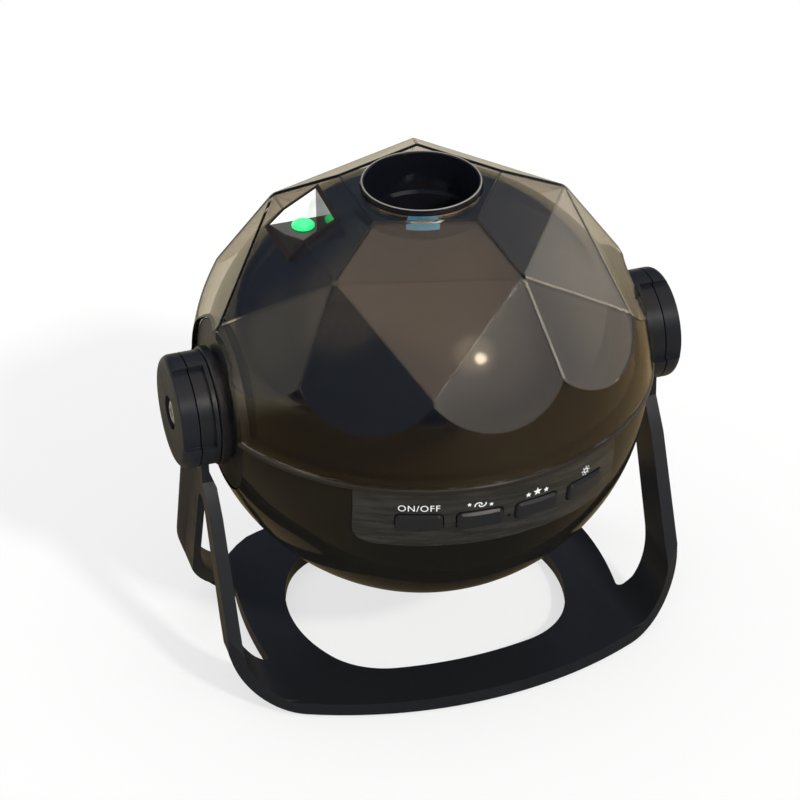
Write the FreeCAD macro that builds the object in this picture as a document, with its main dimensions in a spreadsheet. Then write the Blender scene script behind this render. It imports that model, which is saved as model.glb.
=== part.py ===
"""Star and nebula projector: a round head that tilts between the two hubs of a one-piece stand.

Millimetres, +Z up, +X to the right hub, -Y to the control panel. The origin is on the floor, straight
under the centre of the head. Pieces of the head are drawn about the centre of the head, upright, and
are then set up and leaned forward by head_frame().
"""

import FreeCAD
import Part
import Sketcher
import math
import os
import re
from FreeCAD import Placement, Rotation, Vector

DIMENSIONS = {
    # the head as a whole
    "centre_height": 88.0,
    "lean_angle": 3.0,
    "ball_radius": 68.0,
    "seam_bottom": 1.6,
    "seam_top": 3.4,
    "fit_gap": 0.3,
    # faceted dome: flat top, then three families of flats cut on a sphere
    "dome_radius": 69.2,
    "dome_wall": 1.6,
    "dome_twist": -15.8,
    "top_height": 61.95,
    "upper_tilt": 29.27,
    "upper_distance": 63.88,
    "middle_tilt": 42.64,
    "middle_distance": 63.59,
    "lower_tilt": 55.43,
    "lower_distance": 65.37,
    # inner dome, an ellipsoid of revolution
    "inner_width": 64.4,
    "inner_height": 59.0,
    "inner_wall": 1.5,
    # trim ring between dome and bowl
    "ring_outer": 69.4,
    "ring_inner": 52.0,
    "ring_round": 0.4,
    # lower bowl
    "bowl_wall": 2.2,
    "panel_inside": 66.8,
    # lens collar and the lens in it
    "collar_outer": 17.6,
    "collar_bore": 16.6,
    "collar_top": 63.6,
    "collar_bottom": 40.0,
    "collar_lip": 14.5,
    "collar_edge": 0.3,
    "lens_room": 2.0,
    "lens_ledge": 1.0,
    "flange_radius": 20.0,
    "flange_bottom": 56.9,
    "flange_top": 58.1,
    "lens_radius": 16.0,
    "lens_bottom": 42.0,
    "lens_edge": 44.0,
    "lens_top": 49.0,
    "lens_curve": 28.1,
    "glow_outer": 19.8,
    "glow_top": 60.2,
    "glow_azimuth": -17.6,
    "glow_span": 28.0,
    # star window: a tub let into the dome, open upwards and outwards
    "tub_inner": 27.5,
    "tub_reach": 60.0,
    "tub_front": 3.4,
    "tub_back": 14.5,
    "tub_floor": 48.7,
    "tub_wall": 1.2,
    "star_across": 32.6,
    "star_back": 10.9,
    "star_radius": 3.35,
    "star_top": 49.6,
    "star_bottom": 46.9,
    "star_edge": 0.5,
    # laser module and its holder
    "laser_radius": 6.0,
    "laser_bottom": 3.2,
    "laser_shoulder": 40.0,
    "laser_top": 42.0,
    "nozzle_radius": 3.0,
    "grating_radius": 4.5,
    "grating_top": 44.0,
    "holder_radius": 8.0,
    "holder_flange": 11.0,
    "holder_top": 14.0,
    # side pads, pivot studs and their screws
    "pad_radius": 25.5,
    "pad_inside": 60.0,
    "pad_face": 62.8,
    "neck_radius": 16.0,
    "neck_end": 64.3,
    "disc_radius": 17.7,
    "disc_end": 66.7,
    "pad_round": 0.6,
    "stud_radius": 5.0,
    "stud_head": 7.5,
    "stud_start": 54.5,
    "ear_inside": 57.0,
    "ear_radius": 17.0,
    "pad_screw_offset": 11.0,
    "relief_half": 15.0,
    "pad_screw_radius": 1.5,
    "pad_screw_head": 2.7,
    "pad_screw_start": 55.4,
    "pad_screw_end": 62.0,
    # hubs, knobs and knob screws
    "running_fit": 0.05,
    "hub_inside": 67.0,
    "hub_outside": 72.5,
    "hub_radius": 17.0,
    "hub_step": 68.2,
    "washer_radius": 11.8,
    "washer_bore": 5.3,
    "washer_face": 66.9,
    "washer_seat": 67.9,
    "knob_inside": 72.8,
    "knob_face": 77.9,
    "knob_radius": 17.0,
    "knob_round": 2.6,
    "knob_bore": 2.2,
    "grip_depth": 1.6,
    "grip_angle": 92.0,
    "grip_middle": 150.0,
    "cup_radius": 5.15,
    "cup_floor": 76.6,
    "knob_screw_radius": 2.0,
    "knob_screw_head": 3.7,
    "knob_screw_start": 62.0,
    "knob_screw_top": 77.4,
    "screw_edge_rise": 0.4,
    "screw_edge_run": 0.9,
    "screw_hole_end": 60.0,
    "cross_width": 0.9,
    "cross_length": 4.6,
    "cross_depth": 0.5,
    # stand
    "foot_height": 1.0,
    "plate": 4.0,
    "upright_inner": 68.0,
    "strip_reach": 60.0,
    "front_bend": 13.6,
    "rear_bend": 28.5,
    "front_edge": 53.7,
    "rear_edge": 59.2,
    "edge_curve": 121.0,
    "neck_half": 10.5,
    "neck_base": 68.5,
    "neck_thin": 1.7,
    "neck_thin_start": 66.8,
    "neck_thin_full": 72.0,
    "leg_knee": 16.9,
    "leg_knee_height": 59.0,
    "leg_shin": 29.5,
    "leg_shin_height": 26.8,
    "leg_foot_half": 39.5,
    "relief_depth": 1.7,
    "relief_taper": 60.0,
    "rim_width": 2.0,
    "relief_top": 78.0,
    "relief_end": 6.0,
    "relief_front": 28.2,
    "relief_front_height": 25.3,
    "relief_rear": 31.9,
    "relief_rear_height": 17.3,
    "gap_top": 55.5,
    "gap_top_half": 3.1,
    "gap_tip": 3.3,
    "gap_knee": 15.2,
    "gap_knee_height": 27.0,
    "gap_knee_curve": 78.0,
    "gap_shin": 14.3,
    "gap_shin_height": 22.0,
    "gap_split": 9.5,
    "gap_front": 19.6,
    "gap_rear": 23.3,
    "gap_end_front": 56.8,
    "gap_end_rear": 56.6,
    "gap_end_curve": 139.0,
    "gap_corner": 2.0,
    "gap_rear_corner": 3.0,
    "hole_half_width": 43.6,
    "hole_half_depth": 38.0,
    "hole_back": 1.7,
    "hole_corner": 24.0,
    "hole_corner_across": 16.6,
    "hole_corner_along": 12.3,
    "hole_side_curve": 50.7,
    "hole_front_curve": 105.9,
    "foot_radius": 5.0,
    "foot_across": 44.0,
    "foot_front": 33.0,
    "foot_rear": 38.0,
    # chassis, columns and screws
    "chassis_radius": 65.5,
    "chassis_bottom": -1.0,
    "lamp_hole": 20.0,
    "column_ring": 48.0,
    "column_radius": 3.5,
    "column_azimuth": 60.0,
    "chassis_screw_radius": 1.6,
    "chassis_screw_head": 2.9,
    "chassis_screw_top": 3.4,
    "chassis_screw_end": -9.0,
    # light source
    "sink_half": 22.0,
    "sink_base": 3.0,
    "sink_bottom": -16.0,
    "fin_thickness": 1.6,
    "fin_pitch": 5.05,
    "led_board_radius": 18.0,
    "led_board_top": 0.6,
    "led_radius": 3.2,
    "tube_radius": 12.0,
    "tube_bore": 10.4,
    "tube_ledge": 9.0,
    "tube_flange": 22.5,
    "tube_flange_top": 3.2,
    "tube_ledge_bottom": 12.0,
    "tube_step": 10.6,
    "tube_seat": 14.0,
    "tube_top": 24.0,
    "condenser_edge": 16.0,
    "condenser_top": 20.0,
    "condenser_curve": 15.52,
    # nebula disc, its axle and its drive
    "disc_across": 17.0,
    "gear_module": 1.0,
    "tooth_depth": 1.25,
    "tooth_sink": 0.5,
    "tooth_foot": 0.85,
    "tooth_tip": 0.3,
    "disc_teeth": 54,
    "pinion_teeth": 10,
    "disc_bottom": 30.0,
    "disc_thickness": 2.0,
    "boss_radius": 4.0,
    "boss_bottom": 29.3,
    "boss_top": 33.0,
    "axle_radius": 1.5,
    "post_radius": 3.0,
    "post_top": 29.0,
    "axle_top": 34.2,
    "clip_bottom": 33.3,
    "clip_top": 33.9,
    "clip_radius": 3.2,
    "motor_width": 12.0,
    "motor_depth": 10.0,
    "motor_top": 25.0,
    "shaft_radius": 1.0,
    "shaft_bottom": 19.0,
    "shaft_top": 33.2,
    "pinion_bottom": 29.0,
    "pinion_top": 33.0,
    # main board
    "board_half_width": 30.0,
    "board_half_depth": 22.0,
    "board_bottom": -24.0,
    "board_top": -22.4,
    "chip_left": 8.0,
    "chip_right": 2.0,
    "chip_front": 4.0,
    "chip_back": 6.0,
    "chip_rise": 1.4,
    "can_across": 14.0,
    "can_front": 7.0,
    "can_back": 1.0,
    "can_radius": 3.1,
    "can_rise": 5.0,
    "socket_left": 20.0,
    "socket_right": 12.0,
    "socket_start": 8.0,
    "socket_end": 13.0,
    "socket_rise": 4.0,
    "post_across": 26.0,
    "post_along": 18.0,
    "board_post_radius": 3.0,
    "board_screw_head": 2.5,
    "board_screw_top": -21.0,
    "board_screw_radius": 1.2,
    # switch strip behind the panel
    "strip_inside": 58.6,
    "strip_outside": 59.8,
    "strip_bottom": -12.0,
    "strip_top": -3.4,
    "strip_span": 78.0,
    "strip_height": -7.6,
    "boss_azimuth": 36.5,
    "strip_boss_radius": 1.8,
    "switch_width": 5.0,
    "solder_gap": 0.02,
    "switch_height": 4.0,
    "switch_face": 60.9,
    "plunger_radius": 1.4,
    "plunger_end": 61.6,
    # control panel and buttons
    "panel_radius": 68.25,
    "panel_half_width": 39.6,
    "panel_bottom": -18.4,
    "panel_corner": 5.6,
    "button_elevation": -7.3,
    "button_width": 13.4,
    "button_height": 5.8,
    "button_corner": 1.4,
    "button_back": 63.6,
    "button_crown": 69.3,
    "button_lip": 1.1,
    "button_lip_crown": 65.45,
    "button_shoulder": 68.5,
    "button_bevel": 45.0,
    "crown_reach": 15.0,
    "button_gap": 0.3,
    "pinhole_azimuth": 2.5,
    "pinhole_elevation": -8.1,
    "pinhole_radius": 0.5,
    # power inlet
    "inlet_height": -14.0,
    "inlet_back": 50.0,
    "inlet_body_end": 62.0,
    "inlet_half_width": 4.5,
    "inlet_half_height": 5.5,
    "inlet_nose": 4.0,
    "inlet_rim": 5.5,
    "inlet_rim_start": 66.0,
    "inlet_rim_end": 67.0,
    "inlet_bore": 2.75,
    "inlet_bore_end": 55.0,
    "inlet_pin": 1.0,
    "inlet_pin_end": 64.5,
}

BUTTON_AZIMUTHS = {
    "power_button": -19.55,
    "nebula_button": -4.85,
    "star_button": 9.85,
    "lamp_button": 24.55,
}

X_AXIS = Vector(1, 0, 0)
Y_AXIS = Vector(0, 1, 0)
Z_AXIS = Vector(0, 0, 1)
FAR = 90.0
FULL_TURN = 360.0

doc = FreeCAD.newDocument("projector")
sheet = doc.addObject("Spreadsheet::Sheet", "dims")
for row, (alias, number) in enumerate(DIMENSIONS.items(), start=1):
    sheet.set(f"A{row}", alias)
    sheet.set(f"B{row}", str(number))
    sheet.setAlias(f"B{row}", alias)
doc.recompute()

kept = []


# ---------------------------------------------------------------- expressions and sketches


def bound(text):
    """Turn plain words into references to the sheet: "hub_radius + 1" -> "dims.hub_radius + 1"."""

    def reference(word):
        return f"dims.{word[0]}" if word[0] in DIMENSIONS else word[0]

    return re.sub(r"[a-z_]+", reference, str(text))


def size(text):
    """The value of an expression on the sheet's dimensions."""
    return float(sheet.evalExpression(bound(text)))


def drive(thing, prop, text):
    """Bind a property of an object to an expression on the sheet."""
    thing.setExpression(prop, bound(text))


def head_frame():
    """Where the head's own upright frame sits in the part's frame, leaned forward at rest."""
    return Placement(Vector(0, 0, size("centre_height")), Rotation(X_AXIS, size("lean_angle")))


def turned(angle):
    """A turn about the vertical."""
    return Placement(Vector(), Rotation(Z_AXIS, angle))


def facing(azimuth, elevation):
    """Takes local +Z to an azimuth (from -Y towards +X) and an elevation, with local +X level."""
    level = Placement(Vector(), Rotation(X_AXIS, 90.0 - elevation))
    return turned(azimuth).multiply(level)


def new_body(name):
    """An empty PartDesign body."""
    body = doc.addObject("PartDesign::Body", name)
    body.Label = name
    return body


def keep(thing, name, placement):
    """Name a finished sub-part, set its place and list it for export."""
    thing.Label = name
    thing.Placement = placement
    kept.append(thing)
    return thing


def origin_feature(body, role):
    """One of a body's own origin planes or axes."""
    return [feature for feature in body.Origin.OriginFeatures if feature.Role == role][0]


def new_sketch(body, name, role, shift="0", turn=0.0):
    """A sketch on an origin plane, moved along the plane's normal and turned about its upright axis."""
    sketch = body.newObject("Sketcher::SketchObject", name)
    sketch.AttachmentSupport = [(origin_feature(body, role), "")]
    sketch.MapMode = "FlatFace"
    sketch.AttachmentOffset = Placement(Vector(), Rotation(Y_AXIS, turn))
    drive(sketch, "AttachmentOffset.Base.z", shift)
    return sketch


def pin_point(sketch, element, position, across, up):
    """Hold one point of a sketch element at a driven distance from the sketch's origin."""
    for kind, text in (("DistanceX", across), ("DistanceY", up)):
        index = sketch.addConstraint(Sketcher.Constraint(kind, -1, 1, element, position, size(text)))
        drive(sketch, f"Constraints[{index}]", text)


def pin_radius(sketch, element, radius):
    """Drive the radius of a circle or an arc."""
    index = sketch.addConstraint(Sketcher.Constraint("Radius", element, size(radius)))
    drive(sketch, f"Constraints[{index}]", radius)


def add_circle(sketch, across, up, radius):
    """A full circle."""
    centre = Vector(size(across), size(up), 0)
    element = sketch.addGeometry(Part.Circle(centre, Z_AXIS, size(radius)))
    pin_point(sketch, element, 3, across, up)
    pin_radius(sketch, element, radius)


def arc_between(start, end, radius):
    """The short arc from start to end: it turns left where the radius is positive, right where negative."""
    chord = end.sub(start)
    half = chord.Length / 2.0
    left = Vector(-chord.y, chord.x, 0).normalize()
    rise = math.sqrt(max(radius * radius - half * half, 0.0))
    centre = start.add(chord.multiply(0.5)).add(left.multiply(math.copysign(rise, radius)))
    first = math.atan2(start.y - centre.y, start.x - centre.x)
    last = math.atan2(end.y - centre.y, end.x - centre.x)
    if radius < 0:
        first, last = last, first
    return Part.ArcOfCircle(Part.Circle(centre, Z_AXIS, abs(radius)), first, last)


def add_outline(sketch, corners):
    """A closed run of lines and arcs. A corner is (across, up), or (across, up, radius) where an arc of
    that radius runs from it to the next corner, to the left if positive and to the right if negative."""
    places = [Vector(size(corner[0]), size(corner[1]), 0) for corner in corners]
    ends = []
    for index, corner in enumerate(corners):
        start = places[index]
        end = places[(index + 1) % len(corners)]
        if len(corner) == 2:
            element = sketch.addGeometry(Part.LineSegment(start, end))
            ends.append((element, 1, 2))
        else:
            radius = size(corner[2])
            element = sketch.addGeometry(arc_between(start, end, radius))
            ends.append((element, 1, 2) if radius > 0 else (element, 2, 1))
    for index, corner in enumerate(corners):
        element, start, end = ends[index]
        after, after_start, after_end = ends[(index + 1) % len(corners)]
        sketch.addConstraint(Sketcher.Constraint("Coincident", element, end, after, after_start))
        pin_point(sketch, element, start, corner[0], corner[1])
        if len(corner) == 3:
            pin_radius(sketch, element, f"abs({corner[2]})")


def add_box(sketch, left, bottom, right, top):
    """A rectangle from its four sides."""
    add_outline(sketch, [(left, bottom), (right, bottom), (right, top), (left, top)])


def add_rounded_box(sketch, half_width, bottom, top, corner):
    """A rectangle, centred across, with all four corners rounded."""
    wide = f"{half_width}"
    flat = f"({half_width} - {corner})"
    low = f"({bottom} + {corner})"
    high = f"({top} - {corner})"
    add_outline(sketch, [
        (f"-{flat}", bottom), (flat, bottom, corner), (wide, low), (wide, high, corner),
        (flat, top), (f"-{flat}", top, corner), (f"-{wide}", high), (f"-{wide}", low, corner),
    ])


def add_sector(sketch, middle, span, inner, outer, rise="0"):
    """A sector of a ring, straight across its far side, about a middle direction in degrees."""
    first = f"({middle} - {span} / 2)"
    last = f"({middle} + {span} / 2)"
    add_outline(sketch, [
        (f"{inner} * cos({last})", f"{rise} + {inner} * sin({last})", f"-({inner})"),
        (f"{inner} * cos({first})", f"{rise} + {inner} * sin({first})"),
        (f"{outer} * cos({first})", f"{rise} + {outer} * sin({first})"),
        (f"{outer} * cos({last})", f"{rise} + {outer} * sin({last})"),
    ])


# ---------------------------------------------------------------- features


def pad(body, sketch, length, both_ways=False, backwards=False):
    """Grow a solid from a sketch."""
    feature = body.newObject("PartDesign::Pad", f"{sketch.Name}_pad")
    return set_extrusion(feature, sketch, length, both_ways, backwards)


def pocket(body, sketch, length, both_ways=False, backwards=False):
    """Cut a solid with a sketch and make sure that something went."""
    doc.recompute()
    before = body.Shape.Volume
    feature = body.newObject("PartDesign::Pocket", f"{sketch.Name}_cut")
    set_extrusion(feature, sketch, length, both_ways, backwards)
    doc.recompute()
    if body.Shape.Volume > before - 1e-3:
        raise RuntimeError(f"{feature.Name} cuts nothing")
    return feature


def set_extrusion(feature, sketch, length, both_ways, backwards):
    """Sketch, length and direction of a pad or a pocket."""
    feature.Profile = sketch
    drive(feature, "Length", length)
    if both_ways:
        feature.SideType = "Symmetric"
    feature.Reversed = backwards
    return feature


def spin(body, sketch, axis, angle=FULL_TURN, kind="Revolution"):
    """Turn a sketch about one of its own axes, to add a solid or, as a Groove, to cut one."""
    feature = body.newObject(f"PartDesign::{kind}", f"{sketch.Name}_{kind.lower()}")
    feature.Profile = sketch
    feature.ReferenceAxis = (sketch, [axis])
    feature.Angle = angle
    return feature


def polar(body, features, role, count):
    """Repeat features evenly round an axis of the body."""
    pattern = body.newObject("PartDesign::PolarPattern", f"{features[0].Name}_ring")
    pattern.Originals = features
    pattern.Axis = (origin_feature(body, role), [""])
    pattern.Angle = FULL_TURN
    pattern.Occurrences = count
    body.Tip = pattern
    doc.recompute()
    return pattern


def upright_turned(name, corners, angle=FULL_TURN):
    """A body turned about the vertical from a half section of (radius, height) corners."""
    body = new_body(name)
    sketch = new_sketch(body, f"{name}_section", "XZ_Plane")
    add_outline(sketch, corners)
    spin(body, sketch, "V_Axis", angle)
    return body


def level_turned(name, corners):
    """A body turned about the X axis from a half section of (along, radius) corners."""
    body = new_body(name)
    sketch = new_sketch(body, f"{name}_section", "XY_Plane")
    add_outline(sketch, corners)
    spin(body, sketch, "H_Axis")
    return body


def cylinder(name, radius, length, placement):
    """A plain cylinder along local +Z."""
    solid = doc.addObject("Part::Cylinder", name)
    drive(solid, "Radius", radius)
    drive(solid, "Height", length)
    solid.Placement = placement
    return solid


def block(name, low, high, placement):
    """A plain block between two corners given as expressions."""
    solid = doc.addObject("Part::Box", name)
    for prop, start, end in zip(("Length", "Width", "Height"), low, high):
        drive(solid, prop, f"({end}) - ({start})")
    corner = Placement(Vector(*[size(text) for text in low]), Rotation())
    solid.Placement = placement.multiply(corner)
    return solid


def ball(name, radius, placement):
    """A plain ball."""
    solid = doc.addObject("Part::Sphere", name)
    drive(solid, "Radius", radius)
    solid.Placement = placement
    return solid


def fused(name, pieces):
    """Several solids as one."""
    whole = doc.addObject("Part::MultiFuse", name)
    whole.Shapes = pieces
    return whole


def cut(name, base, tool):
    """One solid less another."""
    rest = doc.addObject("Part::Cut", name)
    rest.Base = base
    rest.Tool = tool
    return rest


def common(name, pieces):
    """What several solids share."""
    shared = doc.addObject("Part::MultiCommon", name)
    shared.Shapes = pieces
    return shared


def at(across, along, up):
    """A shift to a place given as expressions."""
    return Placement(Vector(size(across), size(along), size(up)), Rotation())


def along_x(across, along, up, sign=1):
    """A place whose local +Z runs along +X, or along -X where the sign is -1."""
    return Placement(Vector(size(across), size(along), size(up)), Rotation(Y_AXIS, 90.0 * sign))


# ---------------------------------------------------------------- stand


def make_stand():
    """One moulding: an oval ring base, four legs that bend up out of it, and a round hub each side."""
    body = new_body("stand")
    outer = "(upright_inner + plate)"
    base_top = "(foot_height + plate)"
    strips = [strip_section(body, "front_strip", "strip_reach", "front_bend"),
              strip_section(body, "rear_strip", "-strip_reach", "rear_bend")]
    sheet = body.newObject("PartDesign::AdditiveLoft", "strip_sheet")
    sheet.Profile = strips[0]
    sheet.Sections = strips[1:]
    sheet.Ruled = True

    plan = new_sketch(body, "plan", "XY_Plane")
    drop = f"(edge_curve - sqrt(edge_curve ^ 2 - {FAR} ^ 2))"
    for sign, edge in ((-1, "front_edge"), (1, "rear_edge")):
        near = f"{sign} * ({edge} - {drop})"
        corners = [(f"-{FAR}", near, f"{-sign} * edge_curve"), (f"{FAR}", near),
                   (f"{FAR}", f"{sign * FAR}"), (f"-{FAR}", f"{sign * FAR}")]
        add_outline(plan, corners)
    pocket(body, plan, f"{FAR} * 2", both_ways=True)

    side = new_sketch(body, "side", "YZ_Plane")
    for sign in (-1, 1):
        add_outline(side, [
            (f"{sign} * neck_half", f"{FAR} * 2"),
            (f"{sign} * neck_half", "neck_base"),
            (f"{sign} * leg_knee", "leg_knee_height"),
            (f"{sign} * leg_shin", "leg_shin_height"),
            (f"{sign} * leg_foot_half", base_top),
            (f"{sign * FAR}", base_top),
            (f"{sign * FAR}", f"{FAR} * 2"),
        ])
    pocket(body, side, f"{FAR} * 2", both_ways=True)

    for name, start, mirrored in (("right_relief", outer, False), ("left_relief", f"-{outer}", True)):
        relief = new_sketch(body, name, "YZ_Plane", start)
        add_outline(relief, [
            ("-(neck_half - rim_width)", "relief_top"),
            ("neck_half - rim_width", "relief_top"),
            ("neck_half - rim_width", "neck_base"),
            ("leg_knee - rim_width", "leg_knee_height"),
            ("leg_shin - rim_width", "leg_shin_height"),
            ("relief_rear", "relief_rear_height"),
            ("relief_rear", "relief_end"),
            ("-relief_front", "relief_end"),
            ("-relief_front", "relief_front_height"),
            ("-(leg_shin - rim_width)", "leg_shin_height"),
            ("-(leg_knee - rim_width)", "leg_knee_height"),
            ("-(neck_half - rim_width)", "neck_base"),
        ])
        hollow = pocket(body, relief, "relief_depth", backwards=mirrored)
        hollow.TaperAngle = size("-relief_taper")

    necks = new_sketch(body, "necks", "XZ_Plane")
    for sign in (-1, 1):
        add_outline(necks, [
            (f"{sign} * upright_inner", "neck_thin_start"),
            (f"{sign} * (upright_inner + neck_thin)", "neck_thin_full"),
            (f"{sign} * (upright_inner + neck_thin)", "centre_height + plate"),
            (f"{sign} * (upright_inner - plate)", "centre_height + plate"),
            (f"{sign} * (upright_inner - plate)", "neck_thin_start"),
        ])
    pocket(body, necks, f"{FAR} * 2", both_ways=True)

    gap = new_sketch(body, "leg_gap", "YZ_Plane")
    add_outline(gap, [
        ("-gap_top_half", "gap_top", "-gap_tip"),
        ("gap_top_half", "gap_top"),
        ("gap_knee", "gap_knee_height", "gap_knee_curve"),
        ("gap_rear", "gap_split"),
        ("-gap_front", "gap_split"),
        ("-gap_shin", "gap_shin_height"),
    ])
    pocket(body, gap, f"{FAR} * 2", both_ways=True)

    foot = new_sketch(body, "leg_gap_foot", "XY_Plane")
    for sign in (-1, 1):
        past = f"{sign} * ({outer} + fit_gap)"
        add_outline(foot, [
            (past, "-gap_front"),
            (f"{sign} * (gap_end_front + gap_corner)", "-gap_front", f"{-sign} * gap_corner"),
            (f"{sign} * gap_end_front", "-(gap_front - gap_corner)", f"{sign} * gap_end_curve"),
            (f"{sign} * gap_end_rear", "gap_rear - gap_rear_corner", f"{-sign} * gap_rear_corner"),
            (f"{sign} * (gap_end_rear + gap_rear_corner)", "gap_rear"),
            (past, "gap_rear"),
        ])
    pocket(body, foot, "gap_split", backwards=True)

    hole = new_sketch(body, "base_hole", "XY_Plane")
    add_outline(hole, oval_corners())
    pocket(body, hole, base_top, backwards=True)

    for name, start in (("right_hub", "hub_inside"), ("left_hub", "-hub_outside")):
        hub = new_sketch(body, name, "YZ_Plane", start)
        add_circle(hub, "0", "centre_height", "hub_radius")
        pad(body, hub, "hub_outside - hub_inside")
    for name, start, mirrored in (("right_hub_grips", "hub_outside", False),
                                  ("left_hub_grips", "-hub_outside", True)):
        grips = new_sketch(body, name, "YZ_Plane", start)
        add_sector(grips, "grip_middle", "grip_angle", "(hub_radius - grip_depth)", "(hub_radius * 2)",
                   "centre_height")
        pocket(body, grips, "hub_outside - hub_step", backwards=mirrored)
    seat = new_sketch(body, "washer_seats", "YZ_Plane")
    add_circle(seat, "0", "centre_height", "washer_radius + fit_gap")
    pocket(body, seat, "washer_seat * 2", both_ways=True)
    bore = new_sketch(body, "hub_bores", "YZ_Plane")
    add_circle(bore, "0", "centre_height", "stud_radius + running_fit")
    pocket(body, bore, f"{FAR} * 2", both_ways=True)
    keep(body, "stand", Placement())


def strip_section(body, name, shift, bend):
    """The stand's section across at one place front to back: base, two bends and two uprights."""
    outer = "(upright_inner + plate)"
    base_top = "(foot_height + plate)"
    bend_x = f"(upright_inner - {bend})"
    bend_z = f"({base_top} + {bend})"
    wide_bend = f"({bend} + plate)"
    strip = new_sketch(body, name, "XZ_Plane", shift)
    add_outline(strip, [
        (f"-{outer}", "centre_height"),
        (f"-{outer}", bend_z, wide_bend),
        (f"-{bend_x}", "foot_height"),
        (bend_x, "foot_height", wide_bend),
        (outer, bend_z),
        (outer, "centre_height"),
        ("upright_inner", "centre_height"),
        ("upright_inner", bend_z, f"-{bend}"),
        (bend_x, base_top),
        (f"-{bend_x}", base_top, f"-{bend}"),
        ("-upright_inner", bend_z),
        ("-upright_inner", "centre_height"),
    ])
    return strip


def oval_corners():
    """The base's oval hole: four long arcs for front, back and sides, and four tangent corner arcs."""
    side_centre = "(hole_half_width - hole_side_curve)"
    front_centre = "(hole_half_depth - hole_front_curve)"
    side_run = f"sqrt((hole_corner_across - {side_centre}) ^ 2 + hole_corner_along ^ 2)"
    front_run = f"sqrt((hole_corner_along - {front_centre}) ^ 2 + hole_corner_across ^ 2)"
    side_x = f"({side_centre} + hole_side_curve * (hole_corner_across - {side_centre}) / {side_run})"
    side_y = f"(hole_side_curve * hole_corner_along / {side_run})"
    front_x = f"(hole_front_curve * hole_corner_across / {front_run})"
    front_y = f"({front_centre} + hole_front_curve * (hole_corner_along - {front_centre}) / {front_run})"
    return [
        (side_x, f"hole_back - {side_y}", "hole_side_curve"),
        (side_x, f"hole_back + {side_y}", "hole_corner"),
        (front_x, f"hole_back + {front_y}", "hole_front_curve"),
        (f"-{front_x}", f"hole_back + {front_y}", "hole_corner"),
        (f"-{side_x}", f"hole_back + {side_y}", "hole_side_curve"),
        (f"-{side_x}", f"hole_back - {side_y}", "hole_corner"),
        (f"-{front_x}", f"hole_back - {front_y}", "hole_front_curve"),
        (front_x, f"hole_back - {front_y}", "hole_corner"),
    ]


def make_feet():
    """Four soft round feet under the base."""
    feet = []
    for across in (-1, 1):
        for along in ("-foot_front", "foot_rear"):
            name = f"foot_{len(feet) + 1}"
            place = at(f"{across} * foot_across", along, "0")
            feet.append(cylinder(name, "foot_radius", "foot_height", place))
    keep(fused("base_feet_all", feet), "base_feet", Placement())


# ---------------------------------------------------------------- hubs, knobs and pads


def side_places():
    """The two sides of the stand: the left one is the right one turned half round."""
    centre = at("0", "0", "centre_height")
    return (("right", centre), ("left", centre.multiply(turned(180.0))))


def head_side_places():
    """The two sides of the head, in the leaned frame."""
    return (("right", head_frame()), ("left", head_frame().multiply(turned(180.0))))


def make_knob(side, place):
    """Clamp knob: two wide grip hollows in the rim, in line with the hub's, and a cup for the screw."""
    body = level_turned(f"{side}_knob", [
        ("knob_inside", "knob_bore"),
        ("knob_inside", "knob_radius"),
        ("knob_face - knob_round", "knob_radius", "-knob_round"),
        ("knob_face", "knob_radius - knob_round"),
        ("knob_face", "cup_radius"),
        ("cup_floor", "cup_radius"),
        ("cup_floor", "knob_bore"),
    ])
    grip = new_sketch(body, f"{side}_grip", "YZ_Plane", "knob_face")
    middle = "grip_middle" if side == "right" else "(180 - grip_middle)"
    add_sector(grip, middle, "grip_angle", "(knob_radius - grip_depth)", "(knob_radius * 2)")
    hollow = pocket(body, grip, "knob_radius")
    polar(body, [hollow], "X_Axis", 2)
    keep(body, f"{side}_knob", place)


def make_knob_screw(side, place):
    """Pan head screw with a cross recess: it holds the knob and runs in the stud."""
    body = level_turned(f"{side}_knob_screw", [
        ("knob_screw_start", "0"),
        ("knob_screw_start", "knob_screw_radius"),
        ("cup_floor", "knob_screw_radius"),
        ("cup_floor", "knob_screw_head"),
        ("knob_screw_top - screw_edge_rise", "knob_screw_head"),
        ("knob_screw_top", "knob_screw_head - screw_edge_run"),
        ("knob_screw_top", "0"),
    ])
    cross = new_sketch(body, f"{side}_cross", "YZ_Plane", "knob_screw_top")
    add_cross(cross, "cross_length / 2", "cross_width / 2")
    pocket(body, cross, "cross_depth")
    keep(body, f"{side}_knob_screw", place)


def add_cross(sketch, long, short):
    """A plus sign."""
    corners = []
    for quarter in range(4):
        for across, up in ((long, f"-({short})"), (long, short), (short, short)):
            pair = (across, up)
            for _ in range(quarter):
                pair = (f"-({pair[1]})", pair[0])
            corners.append(pair)
    add_outline(sketch, corners)


def make_washer(side, place):
    """Friction washer, let into the hub's inner face."""
    body = level_turned(f"{side}_friction_washer", [
        ("washer_face", "washer_bore"),
        ("washer_face", "washer_radius"),
        ("washer_seat", "washer_radius"),
        ("washer_seat", "washer_bore"),
    ])
    keep(body, f"{side}_friction_washer", place)


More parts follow.
